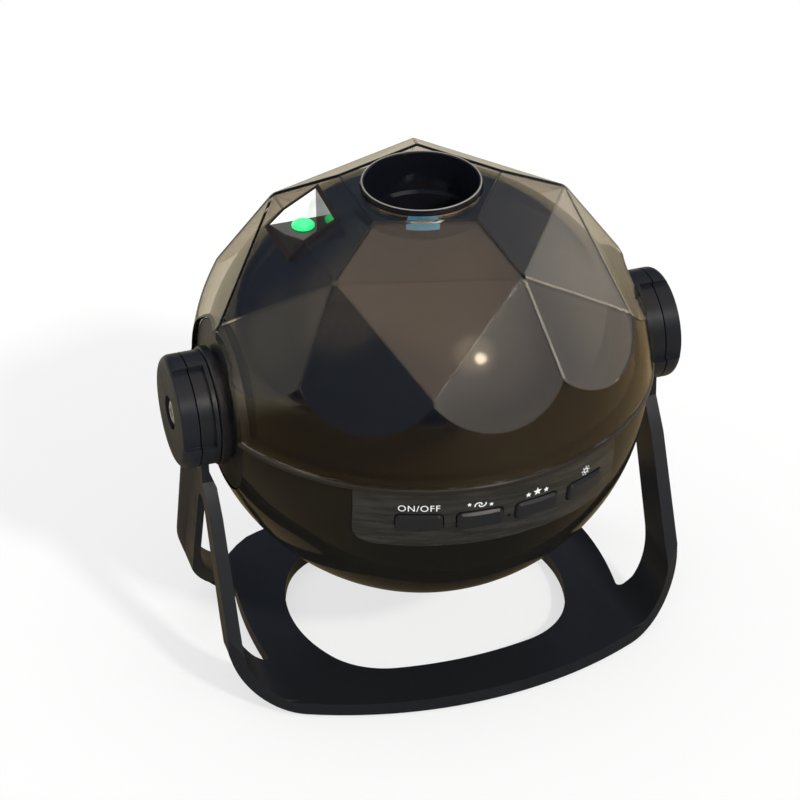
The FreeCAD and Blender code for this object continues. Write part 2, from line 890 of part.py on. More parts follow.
def make_side_pad(side, place):
    """Side pad of the head: a flat disc in the shell, a neck, and the flange that faces the hub."""
    body = level_turned(f"{side}_side_pad", [
        ("pad_inside", "stud_radius"),
        ("pad_inside", "pad_radius"),
        ("pad_face - pad_round", "pad_radius", "-pad_round"),
        ("pad_face", "pad_radius - pad_round"),
        ("pad_face", "neck_radius"),
        ("neck_end", "neck_radius"),
        ("neck_end", "disc_radius"),
        ("disc_end - pad_round", "disc_radius", "-pad_round"),
        ("disc_end", "disc_radius - pad_round"),
        ("disc_end", "stud_radius"),
    ])
    holes = new_sketch(body, f"{side}_pad_holes", "YZ_Plane", "pad_inside")
    for sign in (-1, 1):
        add_circle(holes, f"{sign} * pad_screw_offset", "0", "pad_screw_radius")
    pocket(body, holes, "pad_screw_end - pad_inside", backwards=True)
    keep(body, f"{side}_side_pad", place)


def make_stud(side, place):
    """Pivot stud: headed inside the chassis ear, drilled for the knob screw."""
    body = level_turned(f"{side}_pivot_stud", [
        ("stud_start", "0"),
        ("stud_start", "stud_head"),
        ("ear_inside", "stud_head"),
        ("ear_inside", "stud_radius"),
        ("hub_outside", "stud_radius"),
        ("hub_outside", "knob_screw_radius + running_fit"),
        ("screw_hole_end", "knob_screw_radius + running_fit"),
        ("screw_hole_end", "0"),
    ])
    keep(body, f"{side}_pivot_stud", place)


def make_pad_screws():
    """Two screws on each side hold a side pad to its chassis ear."""
    screws = []
    for side, place in head_side_places():
        for sign in (-1, 1):
            name = f"{side}_pad_screw_{sign + 2}"
            offset = f"{sign} * pad_screw_offset"
            head = cylinder(f"{name}_head", "pad_screw_head", "ear_inside - pad_screw_start",
                            place.multiply(along_x("pad_screw_start", offset, "0")))
            shank = cylinder(f"{name}_shank", "pad_screw_radius", "pad_screw_end - ear_inside",
                             place.multiply(along_x("ear_inside", offset, "0")))
            screws.extend([head, shank])
    keep(fused("pad_screws_all", screws), "pad_screws", Placement())


# ---------------------------------------------------------------- shells of the head


def make_faceted_solid(name, inset, bottom):
    """A ball with a flat top and 20 flats: 5 upper, 5 middle and 10 lower, all moved in by an inset."""
    radius = f"(dome_radius - {inset})"
    top = f"(top_height - {inset})"
    body = upright_turned(name, [
        ("0", bottom),
        (f"sqrt({radius} ^ 2 - ({bottom}) ^ 2)", bottom, radius),
        (f"sqrt({radius} ^ 2 - {top} ^ 2)", top),
        ("0", top),
    ])
    for family, azimuth, count in (("upper", 0.0, 5), ("middle", 0.0, 5), ("lower", 18.0, 10)):
        tilt = f"{family}_tilt"
        near = f"({family}_distance - {inset})"
        far = f"({near} + {FAR})"
        flat = new_sketch(body, f"{name}_{family}", "YZ_Plane", turn=azimuth)
        corners = [(near, FAR), (near, -FAR), (far, -FAR), (far, FAR)]
        add_outline(flat, [
            (f"-{out} * sin({tilt}) + {aside} * cos({tilt})",
             f"{out} * cos({tilt}) + {aside} * sin({tilt})")
            for out, aside in corners
        ])
        first = pocket(body, flat, f"{FAR} * 2", both_ways=True)
        polar(body, [first], "Z_Axis", count)
    body.Placement = head_frame().multiply(turned(size("dome_twist")))
    return body


def make_openings():
    """Cutting solids that several shells of the head share."""
    head = head_frame()
    pads = []
    for side, sign in (("right", 1), ("left", -1)):
        place = head.multiply(along_x(f"{sign} * (pad_inside - fit_gap)", "0", "0", sign))
        pads.append(cylinder(f"{side}_pad_opening", "pad_radius + fit_gap", "pad_inside", place))
    tub = block("tub_opening", ("-tub_reach", "-(tub_front + tub_wall)", "tub_floor - tub_wall"),
                ("-(tub_inner - tub_wall)", "tub_back + tub_wall", "dome_radius"), head)
    return {"pads": fused("pad_openings", pads), "tub": tub}


def make_dome(openings):
    """Faceted clear dome, open for the collar, the star window and the two side pads."""
    outer = make_faceted_solid("dome_outside", "0", "seam_top")
    cavity = make_faceted_solid("dome_inside", "dome_wall", "seam_top - 1")
    mouth = cylinder("dome_mouth", "collar_outer + fit_gap", "dome_radius", head_frame())
    tools = fused("dome_tools", [cavity, mouth, openings["pads"], openings["tub"]])
    dome = cut("faceted_dome", outer, tools)
    keep(dome, "faceted_dome", Placement())
    return outer


def make_inner_dome(openings):
    """Dark dome under the clear one: an egg-shaped shell that carries the collar and the star tub."""
    shells = []
    for name, inset in (("inner_outside", "0"), ("inner_inside", "inner_wall")):
        egg = doc.addObject("Part::Ellipsoid", name)
        drive(egg, "Radius1", f"inner_height - {inset}")
        drive(egg, "Radius2", f"inner_width - {inset}")
        drive(egg, "Radius3", f"inner_width - {inset}")
        egg.Placement = head_frame()
        shells.append(egg)
    under = block("inner_under", (f"-{FAR}", f"-{FAR}", f"-{FAR}"), (f"{FAR}", f"{FAR}", "seam_top"),
                  head_frame())
    mouth = cylinder("inner_mouth", "collar_outer", "dome_radius", head_frame())
    star = cylinder("inner_star_hole", "star_radius", f"{FAR}", star_place())
    tools = fused("inner_tools", [shells[1], under, mouth, star, openings["pads"], openings["tub"]])
    keep(cut("inner_dome", shells[0], tools), "inner_dome", Placement())


def make_trim_ring():
    """Ring between dome and bowl, notched for the chassis ears and the side pads."""
    body = upright_turned("trim_ring", [
        ("ring_inner", "seam_bottom"),
        ("ring_outer - ring_round", "seam_bottom"),
        ("ring_outer", "seam_bottom + ring_round"),
        ("ring_outer", "seam_top - ring_round"),
        ("ring_outer - ring_round", "seam_top"),
        ("ring_inner", "seam_top"),
    ])
    notches = new_sketch(body, "ring_notches", "XY_Plane")
    ear = "(ear_radius + fit_gap)"
    rim = "(pad_radius + fit_gap)"
    for sign in (-1, 1):
        near = f"{sign} * (stud_start - fit_gap)"
        step = f"{sign} * (pad_inside - fit_gap)"
        far = f"{sign} * (ring_outer + 1)"
        add_outline(notches, [(near, ear), (step, ear), (step, rim), (far, rim),
                              (far, f"-{rim}"), (step, f"-{rim}"), (step, f"-{ear}"), (near, f"-{ear}")])
    pocket(body, notches, "ring_outer", both_ways=True)
    keep(body, "trim_ring", head_frame())


def make_panel_prism(name, grow):
    """The panel's rounded outline, run straight forward from the middle of the head."""
    body = new_body(name)
    sketch = new_sketch(body, f"{name}_outline", "XZ_Plane")
    wide = f"(panel_half_width + {grow})"
    low = f"(panel_bottom - {grow})"
    corner = f"(panel_corner + {grow})"
    add_outline(sketch, [
        (f"-({wide} - {corner})", low),
        (f"{wide} - {corner}", low, corner),
        (wide, f"{low} + {corner}"),
        (wide, "seam_bottom"),
        (f"-{wide}", "seam_bottom"),
        (f"-{wide}", f"{low} + {corner}", corner),
    ])
    pad(body, sketch, f"{FAR}")
    body.Placement = head_frame()
    return body


def make_button_openings():
    """The four button holes and the pinhole, as one cutting solid."""
    holes = []
    for name, azimuth in BUTTON_AZIMUTHS.items():
        body = new_body(f"{name}_hole")
        sketch = new_sketch(body, f"{name}_hole_outline", "XY_Plane", "strip_outside")
        add_rounded_box(sketch, "(button_width / 2 + button_gap)", "(-button_height / 2 - button_gap)",
                        "(button_height / 2 + button_gap)", "(button_corner + button_gap)")
        pad(body, sketch, "panel_radius - strip_outside + 3")
        body.Placement = head_frame().multiply(facing(azimuth, size("button_elevation")))
        holes.append(body)
    aim = head_frame().multiply(facing(size("pinhole_azimuth"), size("pinhole_elevation")))
    holes.append(cylinder("pinhole", "pinhole_radius", "dome_radius + 3", aim))
    return fused("button_openings", holes)


def make_control_panel(button_openings):
    """Panel let into the front of the bowl, following its curve."""
    outline = make_panel_prism("panel_prism", "0")
    skin = cut("panel_skin", ball("panel_outside", "panel_radius", head_frame()),
               ball("panel_back", "panel_inside", head_frame()))
    blank = common("panel_blank", [outline, skin])
    keep(cut("control_panel", blank, button_openings), "control_panel", Placement())


def bowl_posts():
    """Columns inside the bowl: four for the chassis, four for the main board, two for the switch strip."""
    head = head_frame()
    posts = []
    for azimuth in (-1, 1):
        for half in (0, 1):
            angle = f"({azimuth} * column_azimuth + {half} * 180)"
            place = at(f"column_ring * sin({angle})", f"-column_ring * cos({angle})", "-ball_radius")
            posts.append(cylinder(f"chassis_column_{len(posts) + 1}", "column_radius",
                                  "ball_radius + chassis_bottom", head.multiply(place)))
    for across in (-1, 1):
        for along in (-1, 1):
            place = at(f"{across} * post_across", f"{along} * post_along", "-ball_radius")
            posts.append(cylinder(f"board_post_{len(posts) + 1}", "board_post_radius",
                                  "ball_radius + board_bottom", head.multiply(place)))
    for sign in (-1, 1):
        aim = head.multiply(at("0", "0", "strip_height")).multiply(facing(sign * size("boss_azimuth"), 0.0))
        start = at("0", "0", "strip_outside + 0.1")
        posts.append(cylinder(f"strip_boss_{sign + 2}", "strip_boss_radius", "bowl_wall + 6",
                              aim.multiply(start)))
    inside = ball("bowl_inside", "ball_radius - bowl_wall / 2", head)
    return common("bowl_posts", [fused("bowl_posts_all", posts), inside])


def make_bowl(openings, button_openings):
    """Lower half of the head: a round shell with its columns, the panel's seat and the inlet's hole."""
    inner = "(ball_radius - bowl_wall)"
    shell = upright_turned("bowl_shell", [
        ("0", "-ball_radius", "ball_radius"),
        ("sqrt(ball_radius ^ 2 - 1)", "-1"),
        ("sqrt(ball_radius ^ 2 - 1)", "seam_bottom"),
        (f"sqrt({inner} ^ 2 - 1)", "seam_bottom"),
        (f"sqrt({inner} ^ 2 - 1)", "-1", f"-{inner}"),
        ("0", f"-{inner}"),
    ])
    shell.Placement = head_frame()
    whole = fused("bowl_whole", [shell, bowl_posts()])
    recess = cut("panel_recess", make_panel_prism("recess_prism", "0.15"),
                 ball("recess_back", "panel_inside", head_frame()))
    aim = head_frame().multiply(Placement(Vector(0, 0, size("inlet_height")), Rotation(X_AXIS, -90.0)))
    bore = cylinder("inlet_hole", "inlet_nose", f"{FAR}", aim)
    rim = cylinder("inlet_rim_seat", "inlet_rim", f"{FAR}", aim.multiply(at("0", "0", "inlet_rim_start")))
    screws = chassis_screw_solids("column_hole", "chassis_screw_radius", "chassis_screw_end",
                                  "chassis_bottom")
    tools = fused("bowl_tools", [recess, button_openings, bore, rim, openings["pads"]] + screws)
    keep(cut("lower_bowl", whole, tools), "lower_bowl", Placement())


# ---------------------------------------------------------------- top window and star window


def make_collar():
    """Lens collar: a tube through both domes, with a flange on the inner one and a seat for the lens."""
    body = upright_turned("lens_collar", [
        ("collar_lip", "collar_bottom"),
        ("collar_outer", "collar_bottom"),
        ("collar_outer", "flange_bottom"),
        ("flange_radius", "flange_bottom"),
        ("flange_radius", "flange_top"),
        ("collar_outer", "flange_top"),
        ("collar_outer", "collar_top - collar_edge", "collar_edge"),
        ("collar_outer - collar_edge", "collar_top"),
        ("collar_bore + collar_edge", "collar_top", "collar_edge"),
        ("collar_bore", "collar_top - collar_edge"),
        ("collar_bore", "lens_top + lens_room"),
        ("lens_radius", "lens_top + lens_ledge"),
        ("lens_radius", "lens_bottom"),
        ("collar_lip", "lens_bottom"),
    ])
    keep(body, "lens_collar", head_frame())


def make_front_lens():
    """Projection lens, flat below and domed above."""
    body = upright_turned("front_lens", [
        ("0", "lens_bottom"),
        ("lens_radius", "lens_bottom"),
        ("lens_radius", "lens_edge", "lens_curve"),
        ("0", "lens_top"),
    ])
    keep(body, "front_lens", head_frame())


def make_glow_window():
    """Small light pipe on the collar's flange, lit from below."""
    body = upright_turned("glow_window", [
        ("collar_outer", "flange_top"),
        ("glow_outer", "flange_top"),
        ("glow_outer", "glow_top"),
        ("collar_outer", "glow_top"),
    ], size("glow_span"))
    start = size("glow_azimuth - 90 - glow_span / 2")
    keep(body, "glow_window", head_frame().multiply(turned(start)))


def make_star_tub(openings, dome_outside):
    """Tub of the star window: floor, inner wall and two cheeks, trimmed flush with the dome's flats."""
    head = head_frame()
    blank = common("tub_blank", [openings["tub"], dome_outside])
    room = block("tub_room", ("-tub_reach", "-tub_front", "tub_floor"),
                 ("-tub_inner", "tub_back", "dome_radius"), head)
    place = head.multiply(at("-star_across", "star_back", "0"))
    hole = cylinder("tub_hole", "star_radius", f"{FAR}", place)
    keep(cut("star_tub", blank, fused("tub_tools", [room, hole])), "star_tub", Placement())


def star_place():
    """The star window's own axis, through the laser, the grating and the small lens."""
    return head_frame().multiply(at("-star_across", "star_back", "0"))


def make_star_lens():
    """Small lens in the tub's floor."""
    body = upright_turned("star_lens", [
        ("0", "star_bottom"),
        ("star_radius", "star_bottom"),
        ("star_radius", "star_top - star_edge"),
        ("star_radius - star_edge", "star_top"),
        ("0", "star_top"),
    ])
    keep(body, "star_lens", star_place())


def make_laser():
    """Laser module: a barrel with a narrower nozzle."""
    body = upright_turned("laser_module", [
        ("0", "laser_bottom"),
        ("laser_radius", "laser_bottom"),
        ("laser_radius", "laser_shoulder"),
        ("nozzle_radius", "laser_shoulder"),
        ("nozzle_radius", "laser_top"),
        ("0", "laser_top"),
    ])
    keep(body, "laser_module", star_place())


def make_star_grating():
    """Patterned disc on the laser's nozzle, which splits the beam into stars."""
    body = upright_turned("star_grating", [
        ("0", "laser_top"),
        ("grating_radius", "laser_top"),
        ("grating_radius", "grating_top"),
        ("0", "grating_top"),
    ])
    keep(body, "star_grating", star_place())


def make_laser_holder():
    """Flanged cup on the chassis that holds the laser upright."""
    body = upright_turned("laser_holder", [
        ("0", "seam_bottom"),
        ("holder_flange", "seam_bottom"),
        ("holder_flange", "laser_bottom"),
        ("holder_radius", "laser_bottom"),
        ("holder_radius", "holder_top"),
        ("laser_radius", "holder_top"),
        ("laser_radius", "laser_bottom"),
        ("0", "laser_bottom"),
    ])
    keep(body, "laser_holder", star_place())


# ---------------------------------------------------------------- chassis


def make_chassis():
    """Round plate with a light hole, and an ear each side that carries a pivot."""
    body = new_body("chassis")
    plate = new_sketch(body, "chassis_plan", "XY_Plane", "chassis_bottom")
    half = "sqrt(chassis_radius ^ 2 - pad_inside ^ 2)"
    add_outline(plate, [
        ("pad_inside", half, "chassis_radius"),
        ("-pad_inside", half),
        ("-pad_inside", f"-{half}", "chassis_radius"),
        ("pad_inside", f"-{half}"),
    ])
    add_circle(plate, "0", "0", "lamp_hole")
    for azimuth in (-1, 1):
        for half_turn in (0, 1):
            angle = f"({azimuth} * column_azimuth + {half_turn} * 180)"
            add_circle(plate, f"column_ring * sin({angle})", f"-column_ring * cos({angle})",
                       "chassis_screw_radius")
    pad(body, plate, "seam_bottom - chassis_bottom")
    for name, start in (("right_ear", "ear_inside"), ("left_ear", "-pad_inside")):
        ear = new_sketch(body, name, "YZ_Plane", start)
        add_circle(ear, "0", "0", "ear_radius")
        pad(body, ear, "pad_inside - ear_inside")
    holes = new_sketch(body, "ear_holes", "YZ_Plane")
    add_circle(holes, "0", "0", "stud_radius")
    for sign in (-1, 1):
        add_circle(holes, f"{sign} * pad_screw_offset", "0", "pad_screw_radius")
    relief = new_sketch(body, "stud_relief", "YZ_Plane")
    add_box(relief, "-relief_half", "-(stud_head + fit_gap)", "relief_half",
            "stud_head + fit_gap")
    pocket(body, relief, "ear_inside * 2", both_ways=True)
    pocket(body, holes, f"{FAR} * 2", both_ways=True)
    keep(body, "chassis", head_frame())


def chassis_screw_solids(name, radius, low, high):
    """A cylinder over each bowl column, between two heights."""
    solids = []
    for azimuth in (-1, 1):
        for half in (0, 1):
            angle = f"({azimuth} * column_azimuth + {half} * 180)"
            place = at(f"column_ring * sin({angle})", f"-column_ring * cos({angle})", low)
            solids.append(cylinder(f"{name}_{len(solids) + 1}", radius, f"({high}) - ({low})",
                                   head_frame().multiply(place)))
    return solids


def make_chassis_screws():
    """Four screws that hold the chassis on the bowl's columns."""
    heads = chassis_screw_solids("screw_head", "chassis_screw_head", "seam_bottom", "chassis_screw_top")
    shanks = chassis_screw_solids("screw_shank", "chassis_screw_radius", "chassis_screw_end", "seam_bottom")
    keep(fused("chassis_screws_all", heads + shanks), "chassis_screws", Placement())


# ---------------------------------------------------------------- light source


def make_heat_sink():
    """Square plate under the chassis with a row of fins."""
    body = new_body("heat_sink")
    base = new_sketch(body, "sink_base_plan", "XY_Plane", "chassis_bottom - sink_base")
    add_box(base, "-sink_half", "-sink_half", "sink_half", "sink_half")
    pad(body, base, "sink_base")
    fins = new_sketch(body, "sink_fins", "XY_Plane", "sink_bottom")
    for index in range(-4, 5):
        middle = f"{index} * fin_pitch"
        add_box(fins, f"{middle} - fin_thickness / 2", "-sink_half",
                f"{middle} + fin_thickness / 2", "sink_half")
    pad(body, fins, "chassis_bottom - sink_base - sink_bottom")
    keep(body, "heat_sink", head_frame())


def make_led():
    """Round light board on the heat sink, and the light itself under a small clear dome."""
    board = upright_turned("led_board", [
        ("0", "chassis_bottom"),
        ("led_board_radius", "chassis_bottom"),
        ("led_board_radius", "led_board_top"),
        ("0", "led_board_top"),
    ])
    keep(board, "led_board", head_frame())
    light = upright_turned("lamp_led", [
        ("0", "led_board_top"),
        ("led_radius", "led_board_top", "led_radius"),
        ("0", "led_board_top + led_radius"),
    ])
    keep(light, "lamp_led", head_frame())


def make_lamp_tube():
    """Flanged tube round the light, with a ledge for the condenser lens."""
    body = upright_turned("lamp_tube", [
        ("tube_bore", "seam_bottom"),
        ("tube_flange", "seam_bottom"),
        ("tube_flange", "tube_flange_top"),
        ("tube_radius", "tube_flange_top"),
        ("tube_radius", "tube_top"),
        ("tube_bore", "tube_top"),
        ("tube_bore", "tube_seat"),
        ("tube_ledge", "tube_seat"),
        ("tube_ledge", "tube_ledge_bottom"),
        ("tube_bore", "tube_step"),
    ])
    keep(body, "lamp_tube", head_frame())


def make_condenser():
    """Condenser lens on the tube's ledge."""
    body = upright_turned("condenser_lens", [
        ("0", "tube_seat"),
        ("tube_bore", "tube_seat"),
        ("tube_bore", "condenser_edge", "condenser_curve"),
        ("0", "condenser_top"),
    ])
    keep(body, "condenser_lens", head_frame())


# ---------------------------------------------------------------- nebula disc and its drive


def disc_place():
    """The nebula disc's axis."""
    return head_frame().multiply(at("disc_across", "0", "0"))


def pinion_place():
    """The pinion's axis, one centre distance behind the disc's."""
    distance = "gear_module * (disc_teeth + pinion_teeth) / 2"
    return head_frame().multiply(at("disc_across", distance, "0"))


def make_gear(name, teeth, first_angle, bottom, thickness):
    """A spur wheel: a root disc and one straight-flanked tooth, repeated round it."""
    body = new_body(name)
    pitch = f"(gear_module * {teeth} / 2)"
    root = f"({pitch} - tooth_depth * gear_module)"
    disc = new_sketch(body, f"{name}_root", "XY_Plane", bottom)
    add_circle(disc, "0", "0", root)
    pad(body, disc, thickness)
    tooth = new_sketch(body, f"{name}_tooth", "XY_Plane", bottom)
    run = {"deep": f"({root} - tooth_sink)", "foot": root, "tip": f"({pitch} + gear_module)"}
    points = [("deep", "-tooth_foot"), ("foot", "-tooth_foot"), ("tip", "-tooth_tip"),
              ("tip", "tooth_tip"), ("foot", "tooth_foot"), ("deep", "tooth_foot")]
    add_outline(tooth, [
        (f"{run[level]} * cos({first_angle}) - {half} * gear_module * sin({first_angle})",
         f"{run[level]} * sin({first_angle}) + {half} * gear_module * cos({first_angle})")
        for level, half in points
    ])
    first = pad(body, tooth, thickness)
    polar(body, [first], "Z_Axis", int(size(teeth)))
    return body


def make_nebula_disc():
    """Clear disc with a rippled face, teeth round its rim and a boss on its axle."""
    body = make_gear("nebula_disc", "disc_teeth", "(90 + 180 / disc_teeth)", "disc_bottom", "disc_thickness")
    boss = new_sketch(body, "disc_boss", "XY_Plane", "boss_bottom")
    add_circle(boss, "0", "0", "boss_radius")
    pad(body, boss, "boss_top - boss_bottom")
    bore = new_sketch(body, "disc_bore", "XY_Plane", "boss_top")
    add_circle(bore, "0", "0", "axle_radius + running_fit")
    pocket(body, bore, "boss_top - boss_bottom")
    keep(body, "nebula_disc", disc_place())


def make_axle():
    """Stepped post that the disc turns on, and the clip above it."""
    axle = upright_turned("disc_axle", [
        ("0", "tube_flange_top"),
        ("post_radius", "tube_flange_top"),
        ("post_radius", "post_top"),
        ("axle_radius", "post_top"),
        ("axle_radius", "axle_top"),
        ("0", "axle_top"),
    ])
    keep(axle, "disc_axle", disc_place())
    clip = upright_turned("axle_clip", [
        ("axle_radius", "clip_bottom"),
        ("clip_radius", "clip_bottom"),
        ("clip_radius", "clip_top"),
        ("axle_radius", "clip_top"),
    ])
    keep(clip, "axle_clip", disc_place())


def make_motor():
    """Small geared motor on the chassis, its shaft, and the pinion on the shaft."""
    body = new_body("motor")
    case = new_sketch(body, "motor_case", "XY_Plane", "seam_bottom")
    add_box(case, "-motor_width / 2", "-motor_depth / 2", "motor_width / 2", "motor_depth / 2")
    pad(body, case, "motor_top - seam_bottom")
    bore = new_sketch(body, "motor_bore", "XY_Plane", "motor_top")
    add_circle(bore, "0", "0", "shaft_radius + running_fit")
    pocket(body, bore, "motor_top - shaft_bottom + fit_gap")
    keep(body, "motor", pinion_place())
    shaft = upright_turned("motor_shaft", [
        ("0", "shaft_bottom"),
        ("shaft_radius", "shaft_bottom"),
        ("shaft_radius", "shaft_top"),
        ("0", "shaft_top"),
    ])
    keep(shaft, "motor_shaft", pinion_place())
    pinion = make_gear("motor_pinion", "pinion_teeth", "(-90)", "pinion_bottom",
                       "(pinion_top - pinion_bottom)")
    hole = new_sketch(pinion, "pinion_bore", "XY_Plane", "pinion_top")
    add_circle(hole, "0", "0", "shaft_radius")
    pocket(pinion, hole, "pinion_top - pinion_bottom")
    keep(pinion, "motor_pinion", pinion_place())


# ---------------------------------------------------------------- boards, buttons, inlet


def make_main_board():
    """Main board on its posts, with the parts that stand on it."""
    body = new_body("main_board")
    board = new_sketch(body, "board_plan", "XY_Plane", "board_bottom")
    add_box(board, "-board_half_width", "-board_half_depth", "board_half_width", "board_half_depth")
    for across in (-1, 1):
        for along in (-1, 1):
            add_circle(board, f"{across} * post_across", f"{along} * post_along", "board_screw_radius")
    pad(body, board, "board_top - board_bottom")
    chip = new_sketch(body, "board_chip", "XY_Plane", "board_top")
    add_box(chip, "-chip_left", "-chip_front", "chip_right", "chip_back")
    pad(body, chip, "chip_rise")
    cans = new_sketch(body, "board_cans", "XY_Plane", "board_top")
    for along in ("-can_front", "can_back"):
        add_circle(cans, "can_across", along, "can_radius")
    pad(body, cans, "can_rise")
    socket = new_sketch(body, "board_sockets", "XY_Plane", "board_top")
    for front, back in (("-socket_end", "-socket_start"), ("socket_start", "socket_end")):
        add_box(socket, "-socket_left", front, "-socket_right", back)
    pad(body, socket, "socket_rise")
    keep(body, "main_board", head_frame())


def make_board_screws():
    """Four small screws on the board's posts."""
    screws = []
    for across in (-1, 1):
        for along in (-1, 1):
            name = f"board_screw_{len(screws) + 1}"
            spot = at(f"{across} * post_across", f"{along} * post_along", "board_top")
            low = at(f"{across} * post_across", f"{along} * post_along", "board_bottom")
            screws.append(cylinder(f"{name}_head", "board_screw_head", "board_screw_top - board_top",
                                   head_frame().multiply(spot)))
            screws.append(cylinder(f"{name}_shank", "board_screw_radius", "board_top - board_bottom",
                                   head_frame().multiply(low)))
    keep(fused("board_screws_all", screws), "board_screws", Placement())


def make_switch_strip():
    """Bent strip behind the panel and the four push switches on it."""
    strip = upright_turned("switch_board", [
        ("strip_inside", "strip_bottom"),
        ("strip_outside", "strip_bottom"),
        ("strip_outside", "strip_top"),
        ("strip_inside", "strip_top"),
    ], size("strip_span"))
    keep(strip, "switch_board", head_frame().multiply(turned(size("-90 - strip_span / 2"))))
    switches = []
    for name, azimuth in BUTTON_AZIMUTHS.items():
        aim = head_frame().multiply(at("0", "0", "strip_height")).multiply(facing(azimuth, 0.0))
        case = block(f"{name}_switch", ("-switch_width / 2", "-switch_height / 2", "strip_outside + solder_gap"),
                     ("switch_width / 2", "switch_height / 2", "switch_face"), aim)
        plunger = cylinder(f"{name}_plunger", "plunger_radius", "plunger_end - switch_face",
                           aim.multiply(at("0", "0", "switch_face")))
        switches.extend([case, plunger])
    keep(fused("tact_switches_all", switches), "tact_switches", Placement())


def make_button(name, azimuth):
    """Push button: a crowned cap with rounded corners on a wider lip that stays behind the bowl's wall."""
    body = new_body(name)
    lip = new_sketch(body, f"{name}_lip", "XY_Plane", "button_back")
    add_rounded_box(lip, "(button_width / 2 + button_lip)", "(-button_height / 2 - button_lip)",
                    "(button_height / 2 + button_lip)", "button_corner")
    pad(body, lip, "button_lip_crown - button_back")
    crown_cut(body, f"{name}_lip_crown", "button_lip_crown", "panel_inside")
    for level, start, end in (("cap", "button_back", "button_shoulder"),
                              ("rim", "button_shoulder", "button_crown")):
        cap = new_sketch(body, f"{name}_{level}", "XY_Plane", start)
        add_rounded_box(cap, "(button_width / 2)", "(-button_height / 2)", "(button_height / 2)",
                        "button_corner")
        step = pad(body, cap, f"{end} - {start}")
        if level == "rim":
            step.TaperAngle = size("-button_bevel")
    crown_cut(body, f"{name}_crown", "button_crown", "(button_crown + 1)")
    keep(body, name, head_frame().multiply(facing(azimuth, size("button_elevation"))))


def crown_cut(body, name, radius, top):
    """Cut away what stands above a ball about the head's centre, near the local +Z axis."""
    doc.recompute()
    sketch = new_sketch(body, name, "XZ_Plane")
    add_outline(sketch, [
        ("0", top),
        ("0", radius, f"-{radius}"),
        (f"{radius} * sin(crown_reach)", f"{radius} * cos(crown_reach)"),
        (f"{radius} * sin(crown_reach)", top),
    ])
    spin(body, sketch, "V_Axis", kind="Groove")
    doc.recompute()


def make_power_inlet():
    """Barrel socket at the back: a case inside, a nose through the bowl and a centre pin."""
    body = new_body("power_inlet")
    case = new_sketch(body, "inlet_case", "XY_Plane", "inlet_back")
    add_box(case, "-inlet_half_width", "-inlet_half_height", "inlet_half_width", "inlet_half_height")
    pad(body, case, "inlet_body_end - inlet_back")
    for name, radius, start, end in (("inlet_neck", "inlet_nose", "inlet_body_end", "inlet_rim_start"),
                                     ("inlet_collar", "inlet_rim", "inlet_rim_start", "inlet_rim_end")):
        ring = new_sketch(body, name, "XY_Plane", start)
        add_circle(ring, "0", "0", radius)
        pad(body, ring, f"{end} - {start}")
    bore = new_sketch(body, "inlet_socket", "XY_Plane", "inlet_rim_end")
    add_circle(bore, "0", "0", "inlet_bore")
    pocket(body, bore, "inlet_rim_end - inlet_bore_end")
    pin = new_sketch(body, "inlet_centre_pin", "XY_Plane", "inlet_bore_end")
    add_circle(pin, "0", "0", "inlet_pin")
    pad(body, pin, "inlet_pin_end - inlet_bore_end")
    aim = Placement(Vector(0, 0, size("inlet_height")), Rotation(X_AXIS, -90.0))
    keep(body, "power_inlet", head_frame().multiply(aim))


# ---------------------------------------------------------------- build, check and write


def build():
    """Make every sub-part."""
    make_stand()
    make_feet()
    for side, place in side_places():
        make_knob(side, place)
        make_knob_screw(side, place)
        make_washer(side, place)
    for side, place in head_side_places():
        make_side_pad(side, place)
        make_stud(side, place)
    make_pad_screws()
    openings = make_openings()
    button_openings = make_button_openings()
    dome_outside = make_dome(openings)
    make_inner_dome(openings)
    make_trim_ring()
    make_control_panel(button_openings)
    make_bowl(openings, button_openings)
    make_collar()
    make_front_lens()
    make_glow_window()
    make_star_tub(openings, dome_outside)
    make_star_lens()
    make_laser()
    make_star_grating()
    make_laser_holder()
    make_chassis()
    make_chassis_screws()
    make_heat_sink()
    make_led()
    make_lamp_tube()
    make_condenser()
    make_nebula_disc()
    make_axle()
    make_motor()
    make_main_board()
    make_board_screws()
    make_switch_strip()
    for name, azimuth in BUTTON_AZIMUTHS.items():
        make_button(name, azimuth)
    make_power_inlet()


def check():
    """Stop if any object failed or any sub-part's shape is empty or broken."""
    doc.recompute()
    for thing in doc.Objects:
        if "Invalid" in thing.State or "Error" in thing.State:
            raise RuntimeError(f"{thing.Name} failed: {thing.State}")
    for thing in kept:
        if thing.Shape.isNull() or not thing.Shape.isValid() or not thing.Shape.Solids:
            raise RuntimeError(f"{thing.Label} has no sound shape")


def write():
    """Write one STEP file for each sub-part."""
    os.makedirs("parts", exist_ok=True)
    for thing in kept:
        thing.Shape.exportStep(f"parts/{thing.Label}.step")
        box = thing.Shape.BoundBox
        print(f"{thing.Label}: {len(thing.Shape.Solids)} solid, {thing.Shape.Volume / 1000:.2f} cm3,"
              f" z {box.ZMin:.1f} to {box.ZMax:.1f}")


build()
check()
write()
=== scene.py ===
"""A smoked planetarium projector dressed over its CAD frame: finishes, fine pieces, light and camera."""

import logging
import math
from collections.abc import Callable, Sequence
from dataclasses import dataclass
from enum import Enum
from typing import Any

import bmesh
import bpy
import numpy as np
from mathutils import Matrix, Vector


